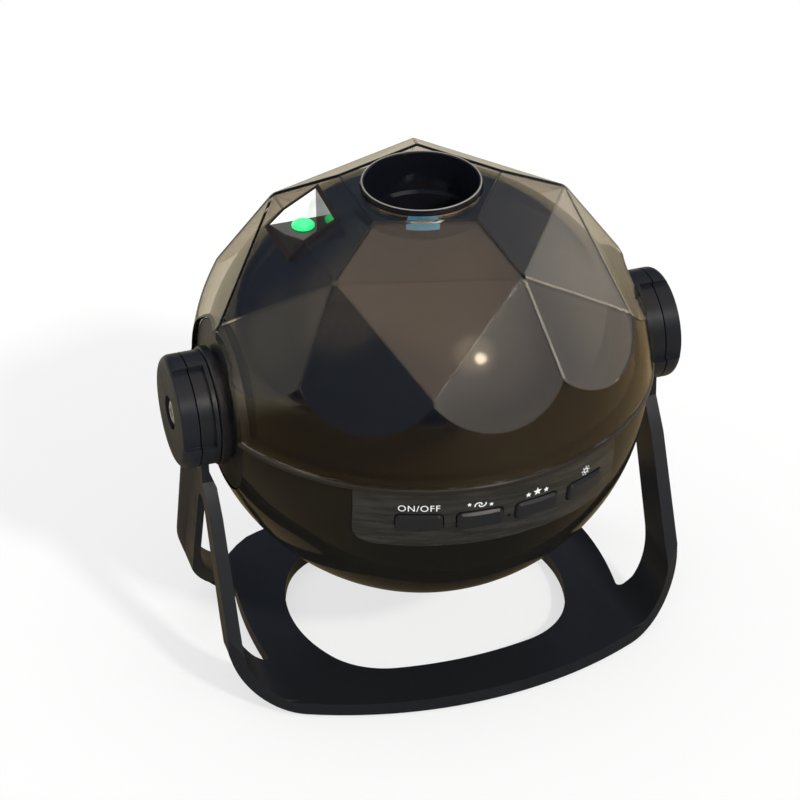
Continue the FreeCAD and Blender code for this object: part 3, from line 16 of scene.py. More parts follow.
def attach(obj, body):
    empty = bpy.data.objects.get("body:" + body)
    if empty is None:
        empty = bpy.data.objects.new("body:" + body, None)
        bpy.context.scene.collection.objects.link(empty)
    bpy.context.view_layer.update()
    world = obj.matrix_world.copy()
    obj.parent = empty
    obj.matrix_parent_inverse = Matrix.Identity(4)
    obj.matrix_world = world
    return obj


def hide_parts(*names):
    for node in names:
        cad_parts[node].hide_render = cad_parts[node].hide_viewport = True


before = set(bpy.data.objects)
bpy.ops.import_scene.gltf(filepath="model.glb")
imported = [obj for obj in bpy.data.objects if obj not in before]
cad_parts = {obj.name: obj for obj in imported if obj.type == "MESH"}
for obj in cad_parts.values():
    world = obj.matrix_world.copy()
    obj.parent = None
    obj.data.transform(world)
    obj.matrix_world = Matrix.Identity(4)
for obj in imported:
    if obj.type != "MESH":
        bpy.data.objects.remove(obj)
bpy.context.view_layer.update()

LOG = logging.getLogger("projector")
MM = 0.001
MERGE_GAP = 0.002 * MM
FLAT_ANGLE = math.radians(0.3)
Colour = tuple[float, float, float]
Number = float | int


# ---------------------------------------------------------------- shader sums


class Wire:
    """One value that runs through a material. Arithmetic on it adds the Math nodes."""

    def __init__(self, sheet: "NodeSheet", socket: bpy.types.NodeSocket) -> None:
        """Keep the node sheet that the socket is drawn on, and the socket."""
        self.sheet = sheet
        self.socket = socket

    def _sum(self, operation: str, *others: "Wire | Number", turned: bool = False) -> "Wire":
        """Add one Math node.

        Args:
            operation: the Math node's operation.
            others: the further operands, wires or plain numbers.
            turned: True when this wire is the second operand.

        Returns:
            The node's output as a wire.
        """
        operands: list[Wire | Number] = [self, *others]
        if turned:
            operands.reverse()
        return self.sheet.put("ShaderNodeMath", {"operation": operation}, dict(enumerate(operands)))

    def __add__(self, other: "Wire | Number") -> "Wire":
        """Sum."""
        return self._sum("ADD", other)

    __radd__ = __add__

    def __sub__(self, other: "Wire | Number") -> "Wire":
        """Difference."""
        return self._sum("SUBTRACT", other)

    def __rsub__(self, other: "Wire | Number") -> "Wire":
        """Difference, as in 1 - mask."""
        return self._sum("SUBTRACT", other, turned=True)

    def __mul__(self, other: "Wire | Number") -> "Wire":
        """Product."""
        return self._sum("MULTIPLY", other)

    __rmul__ = __mul__

    def __pow__(self, other: "Wire | Number") -> "Wire":
        """Power."""
        return self._sum("POWER", other)

    def ramp(self, low: Number, high: Number) -> "Wire":
        """Smooth step from 0 at low to 1 at high."""
        return self.sheet.put(
            "ShaderNodeMapRange",
            {"interpolation_type": "SMOOTHSTEP"},
            {"Value": self, "From Min": low, "From Max": high},
        )

    def sine(self) -> "Wire":
        """Sine of the value in radians."""
        return self._sum("SINE")


class NodeSheet:
    """The node tree of one material or world, drawn from nothing."""

    def __init__(self, tree: bpy.types.NodeTree) -> None:
        """Empty the tree."""
        self.tree = tree
        tree.nodes.clear()

    def put(
        self,
        kind: str,
        settings: dict[str, Any] | None = None,
        inputs: dict[str | int, Any] | None = None,
        out: int | str = 0,
    ) -> Wire:
        """Add any node.

        Args:
            kind: the node's type name.
            settings: properties set before the inputs; "stops" are a ramp's (place, colour) pairs.
            inputs: socket name or number to a wire or a plain value.
            out: the output socket that is returned.

        Returns:
            The chosen output as a wire.
        """
        node = self.tree.nodes.new(kind)
        for name, value in (settings or {}).items():
            if name == "stops":
                self._stops(node, value)
            else:
                setattr(node, name, value)
        for name, value in (inputs or {}).items():
            self.feed(node.inputs[name], value)
        return Wire(self, node.outputs[out])

    def _stops(self, node: bpy.types.Node, stops: Sequence[tuple[float, Colour]]) -> None:
        """Give a Color Ramp node its stops.

        Args:
            node: the ramp's node.
            stops: place and colour of each stop.
        """
        elements = node.color_ramp.elements
        while len(elements) < len(stops):
            elements.new(0.5)
        for element, (place, colour) in zip(elements, stops):
            element.position = place
            element.color = (*colour, 1.0)

    def feed(self, socket: bpy.types.NodeSocket, value: Any) -> None:
        """Link a wire to a socket, or set a plain value on it.

        Args:
            socket: the input socket.
            value: a wire, a number, or a colour or vector as a tuple.
        """
        if isinstance(value, Wire):
            self.tree.links.new(value.socket, socket)
        elif isinstance(value, tuple) and len(value) == 3 and len(socket.default_value) == 4:
            socket.default_value = (*value, 1.0)
        else:
            socket.default_value = value

    def point(self, stretch: Colour = (1.0, 1.0, 1.0)) -> Wire:
        """Object coordinates in millimetres, times a stretch along each axis.

        Args:
            stretch: a factor for each axis; a small one draws a pattern out along it.

        Returns:
            The vector.
        """
        place = self.put("ShaderNodeTexCoord", out="Object")
        scale = tuple(k / MM for k in stretch)
        return self.put("ShaderNodeVectorMath", {"operation": "MULTIPLY"}, {0: place, 1: scale})

    def axes(self, place: Wire) -> tuple[Wire, Wire, Wire]:
        """The three parts of a vector."""
        node = self.put("ShaderNodeSeparateXYZ", inputs={0: place}).socket.node
        return Wire(self, node.outputs[0]), Wire(self, node.outputs[1]), Wire(self, node.outputs[2])

    def noise(self, place: Wire, pitch: float, detail: float = 3.0, rough: float = 0.5) -> Wire:
        """Cloudy noise from 0 to 1 whose features are pitch millimetres across."""
        return self.put(
            "ShaderNodeTexNoise",
            inputs={"Vector": place, "Scale": 1.0 / pitch, "Detail": detail, "Roughness": rough},
        )

    def haze(self, place: Wire, pitch: float, most: float = 0.1) -> Wire:
        """What a cloudy noise adds to a roughness: from 0 to most."""
        return self.noise(place, pitch) * most

    def cells(self, place: Wire, pitch: float, feature: str = "F1") -> Wire:
        """Distance to the nearest of points scattered pitch millimetres apart."""
        return self.put("ShaderNodeTexVoronoi", {"feature": feature}, {"Vector": place, "Scale": 1.0 / pitch})

    def mix(self, share: Wire | Number, first: Wire | Colour, second: Wire | Colour) -> Wire:
        """Mix two colours.

        Args:
            share: how much of the second colour there is, from 0 to 1.
            first: the colour at share 0.
            second: the colour at share 1.

        Returns:
            The mixed colour.
        """
        node = self.put("ShaderNodeMix", {"data_type": "RGBA"}).socket.node
        self.feed(node.inputs[0], share)
        self.feed(node.inputs[6], first)
        self.feed(node.inputs[7], second)
        return Wire(self, node.outputs[2])

    def bump(self, height: Wire, depth: float, normal: Wire | None = None) -> Wire:
        """Raise a surface by a bump.

        Args:
            height: 0 to 1 over the surface.
            depth: how high 1 stands, in millimetres.
            normal: the normal of a finer bump that this one is laid over.

        Returns:
            The new normal.
        """
        inputs: dict[str | int, Any] = {"Height": height, "Distance": depth * MM, "Strength": 1.0}
        if normal is not None:
            inputs["Normal"] = normal
        return self.put("ShaderNodeBump", inputs=inputs)


# ---------------------------------------------------------------- finishes


@dataclass(frozen=True)
class Finish:
    """What every finish has: a name, a colour and a roughness."""

    name: str
    colour: Colour
    roughness: float

    def material(self) -> bpy.types.Material:
        """The Blender material of this finish, made at its first use.

        Returns:
            The material.
        """
        made = bpy.data.materials.get(f"finish_{self.name}")
        if made is None:
            made = bpy.data.materials.new(f"finish_{self.name}")
            made.use_nodes = True
            sheet = NodeSheet(made.node_tree)
            self.draw(sheet)
        return made

    def draw(self, sheet: NodeSheet) -> None:
        """Draw the nodes, from the coordinates to the output.

        Args:
            sheet: the material's node sheet.
        """
        raise NotImplementedError


def put_output(sheet: NodeSheet, shader: Wire, kind: str = "ShaderNodeOutputMaterial") -> None:
    """Lead a shader to a new output node of a material or a world."""
    node = sheet.tree.nodes.new(kind)
    sheet.tree.links.new(shader.socket, node.inputs["Surface"])


def put_surface(sheet: NodeSheet, inputs: dict[str | int, Any]) -> None:
    """Lead a Principled shader with these inputs to the output of a material."""
    put_output(sheet, sheet.put("ShaderNodeBsdfPrincipled", inputs=inputs))


def scaled(colour: Colour, factor: float) -> Colour:
    """A colour with each part times a factor."""
    return (colour[0] * factor, colour[1] * factor, colour[2] * factor)


@dataclass(frozen=True)
class MouldedPlastic(Finish):
    """Injection-moulded plastic: a faint mottle, handling smudges, and fine grain from the tool.

    Pitches, the grain, its depth and the ripple are in millimetres; the rest are shares.
    """

    mottle: float = 0.12
    grain: float = 0.35
    grain_depth: float = 0.004
    ripple: float = 0.03
    streak: float = 0.0
    smudge: float = 0.08
    dust: float = 0.015
    specular: float = 0.5
    mottle_pitch: float = 14.0
    smudge_pitch: float = 6.0
    dust_pitch: float = 2.6
    dust_radius: float = 0.11
    dust_colour: Colour = (0.42, 0.40, 0.37)
    streak_pitch: float = 1.9
    streak_lift: float = 2.6
    ripple_pitch: float = 9.0
    grain_gloss: float = 0.05
    mean_rise: float = 0.02

    def draw(self, sheet: NodeSheet) -> None:
        """Colour varies with a broad noise; roughness with smudges; the bump is the tool's grain.

        Args:
            sheet: the material's node sheet.
        """
        place = sheet.point()
        broad = sheet.noise(place, self.mottle_pitch, 2.0)
        smudges = sheet.noise(sheet.point((1.0, 0.55, 0.8)), self.smudge_pitch, 5.0, 0.62).ramp(0.42, 0.72)
        specks = 1 - sheet.cells(place, self.dust_pitch).ramp(0.0, self.dust_radius)
        body = sheet.mix(broad, scaled(self.colour, 1 - self.mottle), scaled(self.colour, 1 + self.mottle))
        if self.streak:
            lines = sheet.noise(sheet.point((0.12, 0.12, 1.0)), self.streak_pitch, 4.0, 0.6).ramp(0.35, 0.7)
            body = sheet.mix(lines * self.streak, body, scaled(self.colour, self.streak_lift))
        grain = sheet.noise(place, self.grain, 2.0, 0.6)
        inputs: dict[str | int, Any] = {
            "Base Color": sheet.mix(specks * self.dust, body, self.dust_colour),
            "Roughness": smudges * self.smudge + grain * self.grain_gloss + (self.roughness - self.mean_rise),
            "Specular IOR Level": self.specular,
        }
        if self.grain_depth:
            swell = sheet.noise(place, self.ripple_pitch, 1.0)
            inputs["Normal"] = sheet.bump(swell, self.ripple, sheet.bump(grain, self.grain_depth))
        put_surface(sheet, inputs)


@dataclass(frozen=True)
class SmokedClear(Finish):
    """Clear plastic with a tint all through, in which light bends; wipe is how much faint marks dull it."""

    ior: float = 1.49
    wipe: float = 0.05
    wipe_pitch: float = 3.0
    drift: float = 0.03
    drift_pitch: float = 30.0
    lets_lamps_in: float = 0.75

    def draw(self, sheet: NodeSheet) -> None:
        """Glass whose tint drifts a little; lamps' rays pass straight through with a share of the tint.

        Args:
            sheet: the material's node sheet.
        """
        drift = sheet.noise(sheet.point(), self.drift_pitch, 1.0)
        tint = sheet.mix(drift, scaled(self.colour, 1 - self.drift), scaled(self.colour, 1 + self.drift))
        roughness: Wire | float = self.roughness
        if self.wipe:
            wipes = sheet.noise(sheet.point((0.25, 1.0, 1.0)), self.wipe_pitch, 6.0, 0.7).ramp(0.5, 0.8)
            roughness = wipes * self.wipe + self.roughness
        shader = sheet.put("ShaderNodeBsdfPrincipled", inputs={
            "Base Color": tint,
            "Roughness": roughness,
            "IOR": self.ior,
            "Transmission Weight": 1.0,
        })
        lamp_tint = scaled(self.colour, self.lets_lamps_in)
        open_way = sheet.put("ShaderNodeBsdfTransparent", inputs={"Color": lamp_tint})
        shadow = sheet.put("ShaderNodeLightPath", out="Is Shadow Ray")
        mixed = sheet.put("ShaderNodeMixShader", inputs={0: shadow, 1: shader, 2: open_way})
        put_output(sheet, mixed)


@dataclass(frozen=True)
class TurnedMetal(Finish):
    """Machined or plated metal with fine turning rings about the X axis and a trace of oil."""

    line: float = 0.18
    line_depth: float = 0.003
    oil_pitch: float = 1.7
    oil_tint: float = 0.85
    oil_haze: float = 0.15

    def draw(self, sheet: NodeSheet) -> None:
        """Rings follow the distance from the X axis of the frame; oil varies the roughness.

        Args:
            sheet: the material's node sheet.
        """
        place = sheet.point()
        _, along, up = sheet.axes(place)
        rings = (((along * along + up * up) ** 0.5) * (math.tau / self.line)).sine()
        oil = sheet.noise(place, self.oil_pitch, 4.0)
        put_surface(sheet, {
            "Base Color": sheet.mix(oil, scaled(self.colour, self.oil_tint), self.colour),
            "Metallic": 1.0,
            "Roughness": oil * self.oil_haze + self.roughness,
            "Normal": sheet.bump(rings, self.line_depth),
        })


@dataclass(frozen=True)
class CircuitLacquer(Finish):
    """A circuit board's lacquer over copper tracks."""

    track: Colour = (0.02, 0.16, 0.05)
    track_pitch: float = 3.0
    track_height: float = 0.03
    solder: Colour = (0.62, 0.6, 0.55)
    solder_pitch: float = 1.6

    def draw(self, sheet: NodeSheet) -> None:
        """Tracks are the edges of stretched cells, raised a little and paler than the lacquer.

        Args:
            sheet: the material's node sheet.
        """
        place = sheet.point((1.0, 0.5, 1.0))
        tracks = 1 - sheet.cells(place, self.track_pitch, "DISTANCE_TO_EDGE").ramp(0.03, 0.07)
        pads = 1 - sheet.cells(place, self.solder_pitch).ramp(0.16, 0.22)
        lacquer = sheet.mix(tracks, self.colour, self.track)
        put_surface(sheet, {
            "Base Color": sheet.mix(pads * 0.6, lacquer, self.solder),
            "Metallic": pads * 0.5,
            "Roughness": sheet.haze(place, 2.0) + self.roughness,
            "Normal": sheet.bump(tracks, self.track_height),
        })


@dataclass(frozen=True)
class Glowing(Finish):
    """A window with coloured light behind it that is cloudy, over glossy plastic; the star cheek wears it as
    painted light, with no lamp behind.
    """

    strength: float = 1.0
    cloud_pitch: float = 3.0
    cloud_shade: float = 0.55
    plastic_shade: float = 0.4

    def draw(self, sheet: NodeSheet) -> None:
        """The light's colour is cloudy; the window's own plastic is glossy.

        Args:
            sheet: the material's node sheet.
        """
        place = sheet.point()
        cloud = sheet.noise(place, self.cloud_pitch, 2.0)
        put_surface(sheet, {
            "Base Color": scaled(self.colour, self.plastic_shade),
            "Roughness": sheet.haze(place, 0.8) + self.roughness,
            "Emission Color": sheet.mix(cloud, scaled(self.colour, self.cloud_shade), self.colour),
            "Emission Strength": self.strength,
        })


@dataclass(frozen=True)
class PaintedEdgeLine(Finish):
    """The narrow strip where two facets meet, painted as a highlight or as shade on the plastic."""

    cover: float = 0.42
    drift_pitch: float = 7.0

    def draw(self, sheet: NodeSheet) -> None:
        """Partly clear, with a tint that drifts along the edge.

        Args:
            sheet: the material's node sheet.
        """
        place = sheet.point()
        drift = sheet.noise(place, self.drift_pitch)
        put_surface(sheet, {
            "Base Color": sheet.mix(drift, scaled(self.colour, 0.6), scaled(self.colour, 1.25)),
            "Roughness": sheet.haze(place, 1.5) + self.roughness,
            "Alpha": self.cover,
        })


@dataclass(frozen=True)
class PicturedDisc(Finish):
    """A partly clear disc with soft clouds of colour printed on it."""

    cloud_pitch: float = 9.0
    clearness: float = 0.6
    ior: float = 1.49
    stops: tuple[tuple[float, Colour], ...] = (
        (0.30, (0.01, 0.03, 0.20)),
        (0.45, (0.10, 0.04, 0.35)),
        (0.58, (0.02, 0.30, 0.38)),
        (0.72, (0.50, 0.08, 0.22)),
    )

    def draw(self, sheet: NodeSheet) -> None:
        """A detailed noise chooses among deep blue, violet, teal and rose.

        Args:
            sheet: the material's node sheet.
        """
        place = sheet.point()
        cloud = sheet.noise(place, self.cloud_pitch, 6.0, 0.6)
        put_surface(sheet, {
            "Base Color": sheet.put("ShaderNodeValToRGB", {"stops": self.stops}, {0: cloud}),
            "Roughness": sheet.haze(place, 2.0) + self.roughness,
            "Transmission Weight": self.clearness,
            "IOR": self.ior,
        })


STAND_BLACK = MouldedPlastic("stand_black", (0.0122, 0.0134, 0.0158), 0.30, grain_depth=0.002, specular=0.30)
KNOB_BLACK = MouldedPlastic("knob_black", (0.0125, 0.0142, 0.0185), 0.32, grain_depth=0.002, specular=0.22)
PAD_BLACK = MouldedPlastic("pad_black", (0.010, 0.010, 0.011), 0.34)
BOWL_BLACK = MouldedPlastic(
    "bowl_black", (0.007, 0.0065, 0.005), 0.07, grain_depth=0.0004, ripple=0.008, smudge=0.04
)
PANEL_SMOKE = MouldedPlastic("panel_smoke", (0.017, 0.0165, 0.0145), 0.15, grain_depth=0.001, streak=0.55)
BUTTON_BLACK = MouldedPlastic("button_black", (0.014, 0.0145, 0.0155), 0.16, grain_depth=0.0015)
RING_SMOKE = MouldedPlastic("ring_smoke", (0.018, 0.016, 0.013), 0.14, grain_depth=0.0008, specular=0.32)
INNER_NAVY = MouldedPlastic("inner_navy", (0.006, 0.007, 0.011), 0.05, grain_depth=0.0, smudge=0.03)
COLLAR_BLACK = MouldedPlastic("collar_black", (0.007, 0.008, 0.012), 0.05, grain_depth=0.0003, smudge=0.03)
TUB_BROWN = MouldedPlastic("tub_brown", (0.017, 0.011, 0.006), 0.07, grain_depth=0.0006)
CHASSIS_GREY = MouldedPlastic("chassis_grey", (0.045, 0.045, 0.047), 0.42)
INLET_BLACK = MouldedPlastic("inlet_black", (0.013, 0.013, 0.013), 0.38)
GEAR_WHITE = MouldedPlastic("gear_white", (0.72, 0.71, 0.66), 0.36)
WASHER_NYLON = MouldedPlastic("washer_nylon", (0.62, 0.60, 0.54), 0.44)
FOOT_RUBBER = MouldedPlastic("foot_rubber", (0.022, 0.022, 0.022), 0.75, grain_depth=0.01)
LED_YELLOW = MouldedPlastic("led_yellow", (0.80, 0.62, 0.10), 0.28)
BOARD_WHITE = MouldedPlastic("board_white", (0.70, 0.71, 0.70), 0.34)
SWITCH_CASE = MouldedPlastic("switch_case", (0.20, 0.20, 0.21), 0.35)
DOME_SMOKE = SmokedClear("dome_smoke", (0.83, 0.775, 0.665), 0.0, wipe=0.0)
LENS_GLASS = SmokedClear("lens_glass", (0.86, 0.93, 0.96), 0.0, ior=1.52)
GRATING_GLASS = SmokedClear("grating_glass", (0.80, 0.92, 0.86), 0.02, ior=1.52)
SCREW_STEEL = TurnedMetal("screw_steel", (0.90, 0.90, 0.88), 0.26)
LASER_BRASS = TurnedMetal("laser_brass", (0.70, 0.52, 0.24), 0.24)
SINK_ALUMINIUM = TurnedMetal("sink_aluminium", (0.72, 0.73, 0.74), 0.34)
MOTOR_CASE = TurnedMetal("motor_case", (0.60, 0.60, 0.60), 0.30)
BOARD_GREEN = CircuitLacquer("board_green", (0.006, 0.07, 0.02), 0.24)
GREEN_GLOW = Glowing("green_glow", (0.02, 0.95, 0.22), 0.06, strength=1.4)
CYAN_GLOW = Glowing("cyan_glow", (0.10, 0.36, 0.62), 0.06, strength=0.42)
# Painted light: a white glow on the star tub's rear cheek, which no lamp lights.
CHEEK_PAINTED_GLOW = Glowing("cheek_painted_glow", (0.95, 0.95, 0.94), 0.10, strength=1.1)
# Painted highlight: a pale ring for light caught on the collar's top edge.
RIM_PAINTED_HIGHLIGHT = MouldedPlastic("rim_painted_highlight", (0.30, 0.28, 0.24), 0.12, grain_depth=0.0003)
# Painted highlight and painted shade for the dome's facet edges.
EDGE_PAINTED_HIGHLIGHT = PaintedEdgeLine("edge_painted_highlight", (0.50, 0.47, 0.40), 0.12)
EDGE_PAINTED_SHADE = PaintedEdgeLine("edge_painted_shade", (0.012, 0.011, 0.008), 0.12)
PRINT_WHITE = MouldedPlastic("print_white", (0.78, 0.79, 0.80), 0.5, mottle=0.04, grain=0.2)
DISC_CLOUDS = PicturedDisc("disc_clouds", (0.1, 0.1, 0.3), 0.08)


def dress(finish: Finish, *nodes: str) -> None:
    """Give CAD nodes a finish: every material slot of each takes the finish's material.

    Args:
        finish: the finish that they wear.
        nodes: the names of the nodes.
    """
    for name in nodes:
        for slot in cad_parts[name].material_slots:
            slot.material = finish.material()
        LOG.info("%s wears %s", name, finish.name)


# ---------------------------------------------------------------- surfaces


@dataclass(frozen=True)
class Head:
    """The tilting head's own frame: its centre over the floor and its lean towards the front."""

    height: float = 88.0
    lean: float = 3.0

    def matrix(self) -> np.ndarray:
        """Rotation about X by the lean, as a 3 by 3 array."""
        return np.array(Matrix.Rotation(math.radians(self.lean), 3, "X"))

    def place(self, points: np.ndarray) -> np.ndarray:
        """Head millimetres to world metres: turned by the lean, then raised to the centre."""
        return (points @ self.matrix().T + np.array([0.0, 0.0, self.height])) * MM

    def unplace(self, points: np.ndarray) -> np.ndarray:
        """World metres to head millimetres."""
        return (points / MM - np.array([0.0, 0.0, self.height])) @ self.matrix()


HEAD = Head()


def grid_faces(rows: int, columns: int, loop: bool) -> np.ndarray:
    """Quads of a grid of rows by columns points, facing along (down the rows) x (along the columns).

    Args:
        rows: points along the first parameter.
        columns: points along the second parameter.
        loop: True when the last column joins the first.

    Returns:
        An array of four point numbers for each quad.
    """
    last = columns if loop else columns - 1
    row, column = np.meshgrid(np.arange(rows - 1), np.arange(last), indexing="ij")
    after = (column + 1) % columns
    this, above = row * columns, (row + 1) * columns
    corners = [this + column, above + column, above + after, this + after]
    return np.stack(corners, axis=-1).reshape(-1, 4)


def place_piece(name: str, mesh: bpy.types.Mesh, body: str) -> bpy.types.Object:
    """Put a mesh in the scene as a piece.

    Args:
        name: the piece's name.
        mesh: its mesh, in world metres and with its material.
        body: the CAD body that it rides on.

    Returns:
        The object, at the origin and unturned.
    """
    thing = bpy.data.objects.new(name, mesh)
    bpy.context.scene.collection.objects.link(thing)
    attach(thing, body)
    LOG.info("%s: %d points, %d faces, on %s", name, len(mesh.vertices), len(mesh.polygons), body)
    return thing


def points_of(mesh: bpy.types.Mesh) -> np.ndarray:
    """The points of a mesh, one row for each.

    Args:
        mesh: any mesh.

    Returns:
        Three columns, in the mesh's own units.
    """
    points = np.empty(len(mesh.vertices) * 3)
    mesh.vertices.foreach_get("co", points)
    return points.reshape(-1, 3)


def merged_shell(node: str) -> bmesh.types.BMesh:
    """A CAD node's shape with its loose triangles joined and its flat faces made whole.

    Args:
        node: the node's name.

    Returns:
        A mesh in Blender's editing form, for the caller to free.
    """
    shell = bmesh.new()
    shell.from_mesh(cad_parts[node].data)
    bmesh.ops.remove_doubles(shell, verts=shell.verts, dist=MERGE_GAP)
    bmesh.ops.dissolve_limit(shell, angle_limit=FLAT_ANGLE, verts=shell.verts, edges=shell.edges)
    return shell


def mesh_piece(
    name: str,
    points: np.ndarray,
    faces: np.ndarray | Sequence[Sequence[int]],
    finish: Finish,
    body: str,
    smooth: bool = True,
) -> bpy.types.Object:
    """Make a piece from points in world metres.

    Args:
        name: the piece's name.
        points: one row for each point, in metres in the frame.
        faces: point numbers of each face.
        finish: the finish that it wears.
        body: the CAD body that it rides on.
        smooth: True for smooth shading.

    Returns:
        The object, at the origin and unturned.
    """
    mesh = bpy.data.meshes.new(name)
    rows = faces.tolist() if isinstance(faces, np.ndarray) else faces
    mesh.from_pydata(points.tolist(), [], rows)
    mesh.polygons.foreach_set("use_smooth", np.full(len(mesh.polygons), smooth))
    mesh.materials.append(finish.material())
    mesh.update()
    return place_piece(name, mesh, body)


Sign = tuple[np.ndarray, list[list[int]]]
LETTER_SPACING = 1.12
STAR_WAIST = 0.42


def word_sign(word: str, width: float, height: float) -> Sign:
    """A word in the plain built-in letters.

    Args:
        word: what it says.
        width: its width in millimetres.
        height: its height in millimetres.

    Returns:
        Its flat points round its middle, and its faces.
    """
    letters = bpy.data.curves.new("letters", "FONT")
    letters.body = word
    letters.space_character = LETTER_SPACING
    holder = bpy.data.objects.new("letters", letters)
    mesh = bpy.data.meshes.new_from_object(holder)
    flat = points_of(mesh)[:, :2]
    low, high = flat.min(axis=0), flat.max(axis=0)
    faces = [list(face.vertices) for face in mesh.polygons]
    bpy.data.objects.remove(holder)
    return (flat - (low + high) / 2) / (high - low) * np.array([width, height]), faces


def ribbon(path: np.ndarray, width: float, loop: bool = False) -> Sign:
    """A flat ribbon: each point of its path goes half the width to both sides of the path's direction.

    Args:
        path: two columns, millimetres to the right and up.
        width: the ribbon's width in millimetres.
        loop: True when the path's end joins its start.

    Returns:
        The left side's points, then the right side's, and the faces between them.
    """
    along = np.roll(path, -1, axis=0) - np.roll(path, 1, axis=0) if loop else np.gradient(path, axis=0)
    along /= np.linalg.norm(along, axis=1, keepdims=True)
    side = np.stack([-along[:, 1], along[:, 0]], axis=1) * width / 2
    return np.concatenate([path + side, path - side]), grid_faces(2, len(path), loop).tolist()


def joined_sign(parts: Sequence[Sign]) -> Sign:
    """Several signs as one.

    Args:
        parts: the signs.

    Returns:
        All their points, and their faces with the point numbers following on.
    """
    faces: list[list[int]] = []
    start = 0
    for flat, rows in parts:
        faces += [[start + corner for corner in face] for face in rows]
        start += len(flat)
    return np.concatenate([flat for flat, _ in parts]), faces


def shifted_sign(sign: Sign, right: float, up: float) -> Sign:
    """A sign moved to the right and up by millimetres."""
    return sign[0] + np.array([right, up]), sign[1]


def star_sign(radius: float) -> Sign:
    """A five-pointed star: ten points at turn k pi / 5, at the radius for even k, at the waist for odd k.

    Args:
        radius: from the middle to a tip, in millimetres.

    Returns:
        The ten points and the middle, and ten triangles.
    """
    turn = np.arange(10) * math.pi / 5
    reach = np.where(np.arange(10) % 2 == 0, radius, radius * STAR_WAIST)
    rim = np.stack([-np.sin(turn) * reach, np.cos(turn) * reach], axis=1)
    faces = [[10, k, (k + 1) % 10] for k in range(10)]
    return np.concatenate([rim, np.zeros((1, 2))]), faces


def spiral_sign(radius: float, line: float, stretch: float = 1.35) -> Sign:
    """Two spiral arms half a turn apart, stretched sideways.

    For t from 0 to 1 a point of an arm is at the turn 3.6 t and at radius (0.12 + 0.88 t).

    Args:
        radius: how far an arm reaches, in millimetres.
        line: the width of an arm.
        stretch: how much wider than high it is.

    Returns:
        The points and faces of both arms.
    """
    share = np.linspace(0.0, 1.0, 28)
    reach = radius * (0.12 + 0.88 * share)
    arms = []
    for start in (0.0, math.pi):
        turn = start + 3.6 * share
        arms.append(ribbon(np.stack([np.cos(turn) * reach * stretch, np.sin(turn) * reach], axis=1), line))
    return joined_sign(arms)


def lamp_sign(radius: float, ray: float, line: float, rays: int = 8) -> Sign:
    """A ring at the radius, and rays from 1.6 radius outwards that are 0.8 of its line wide.

    Args:
        radius: the ring's radius in millimetres.
        ray: the length of a ray.
        line: the width of the ring's line.
        rays: how many rays there are.

    Returns:
        The points and faces of the ring and the rays.
    """
    turn = np.arange(32) * math.tau / 32
    parts = [ribbon(np.stack([np.cos(turn), np.sin(turn)], axis=1) * radius, line, loop=True)]
    reach = np.linspace(radius * 1.6, radius * 1.6 + ray, 3)[:, None]
    for turn_of_ray in np.arange(rays) * math.tau / rays:
        way = np.array([math.cos(turn_of_ray), math.sin(turn_of_ray)])
        parts.append(ribbon(reach * way, line * 0.8))
    return joined_sign(parts)


@dataclass(frozen=True)
class Softening:
    """How the sharp edges of a moulded node are rounded: radius in millimetres and least angle."""

    radius: float
    angle: float = 30.0
    steps: int = 3

    def make(
        self,
        node: str,
        finish: Finish,
        body: str,
        ease: Callable[[np.ndarray], np.ndarray] | None = None,
    ) -> bpy.types.Object:
        """Copy a node's shape, join its loose triangles and round its edges.

        Args:
            node: the CAD node whose shape is kept.
            finish: the finish that the copy wears.
            body: the CAD body that it rides on.
            ease: moves the points, in millimetres, before the rounding.

        Returns:
            The copy, which stands for the node.
        """
        shell = merged_shell(node)
        mesh = bpy.data.meshes.new(f"{node}_soft")
        shell.to_mesh(mesh)
        shell.free()
        for left_over in ("custom_normal", "sharp_edge", "sharp_face"):
            if left_over in mesh.attributes:
                mesh.attributes.remove(mesh.attributes[left_over])
        if ease is not None:
            mesh.vertices.foreach_set("co", (ease(points_of(mesh) / MM) * MM).ravel())
        mesh.polygons.foreach_set("use_smooth", np.ones(len(mesh.polygons), dtype=bool))
        mesh.materials.clear()
        mesh.materials.append(finish.material())
        thing = place_piece(f"{node}_soft", mesh, body)
        bevel = thing.modifiers.new("rounding", "BEVEL")
        bevel.limit_method = "ANGLE"
        bevel.angle_limit = math.radians(self.angle)
        bevel.width = self.radius * MM
        bevel.segments = self.steps
        bevel.harden_normals = True
        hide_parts(node)
        LOG.info("%s: edges rounded by %.2f mm", node, self.radius)
        return thing


# ---------------------------------------------------------------- sub-assemblies


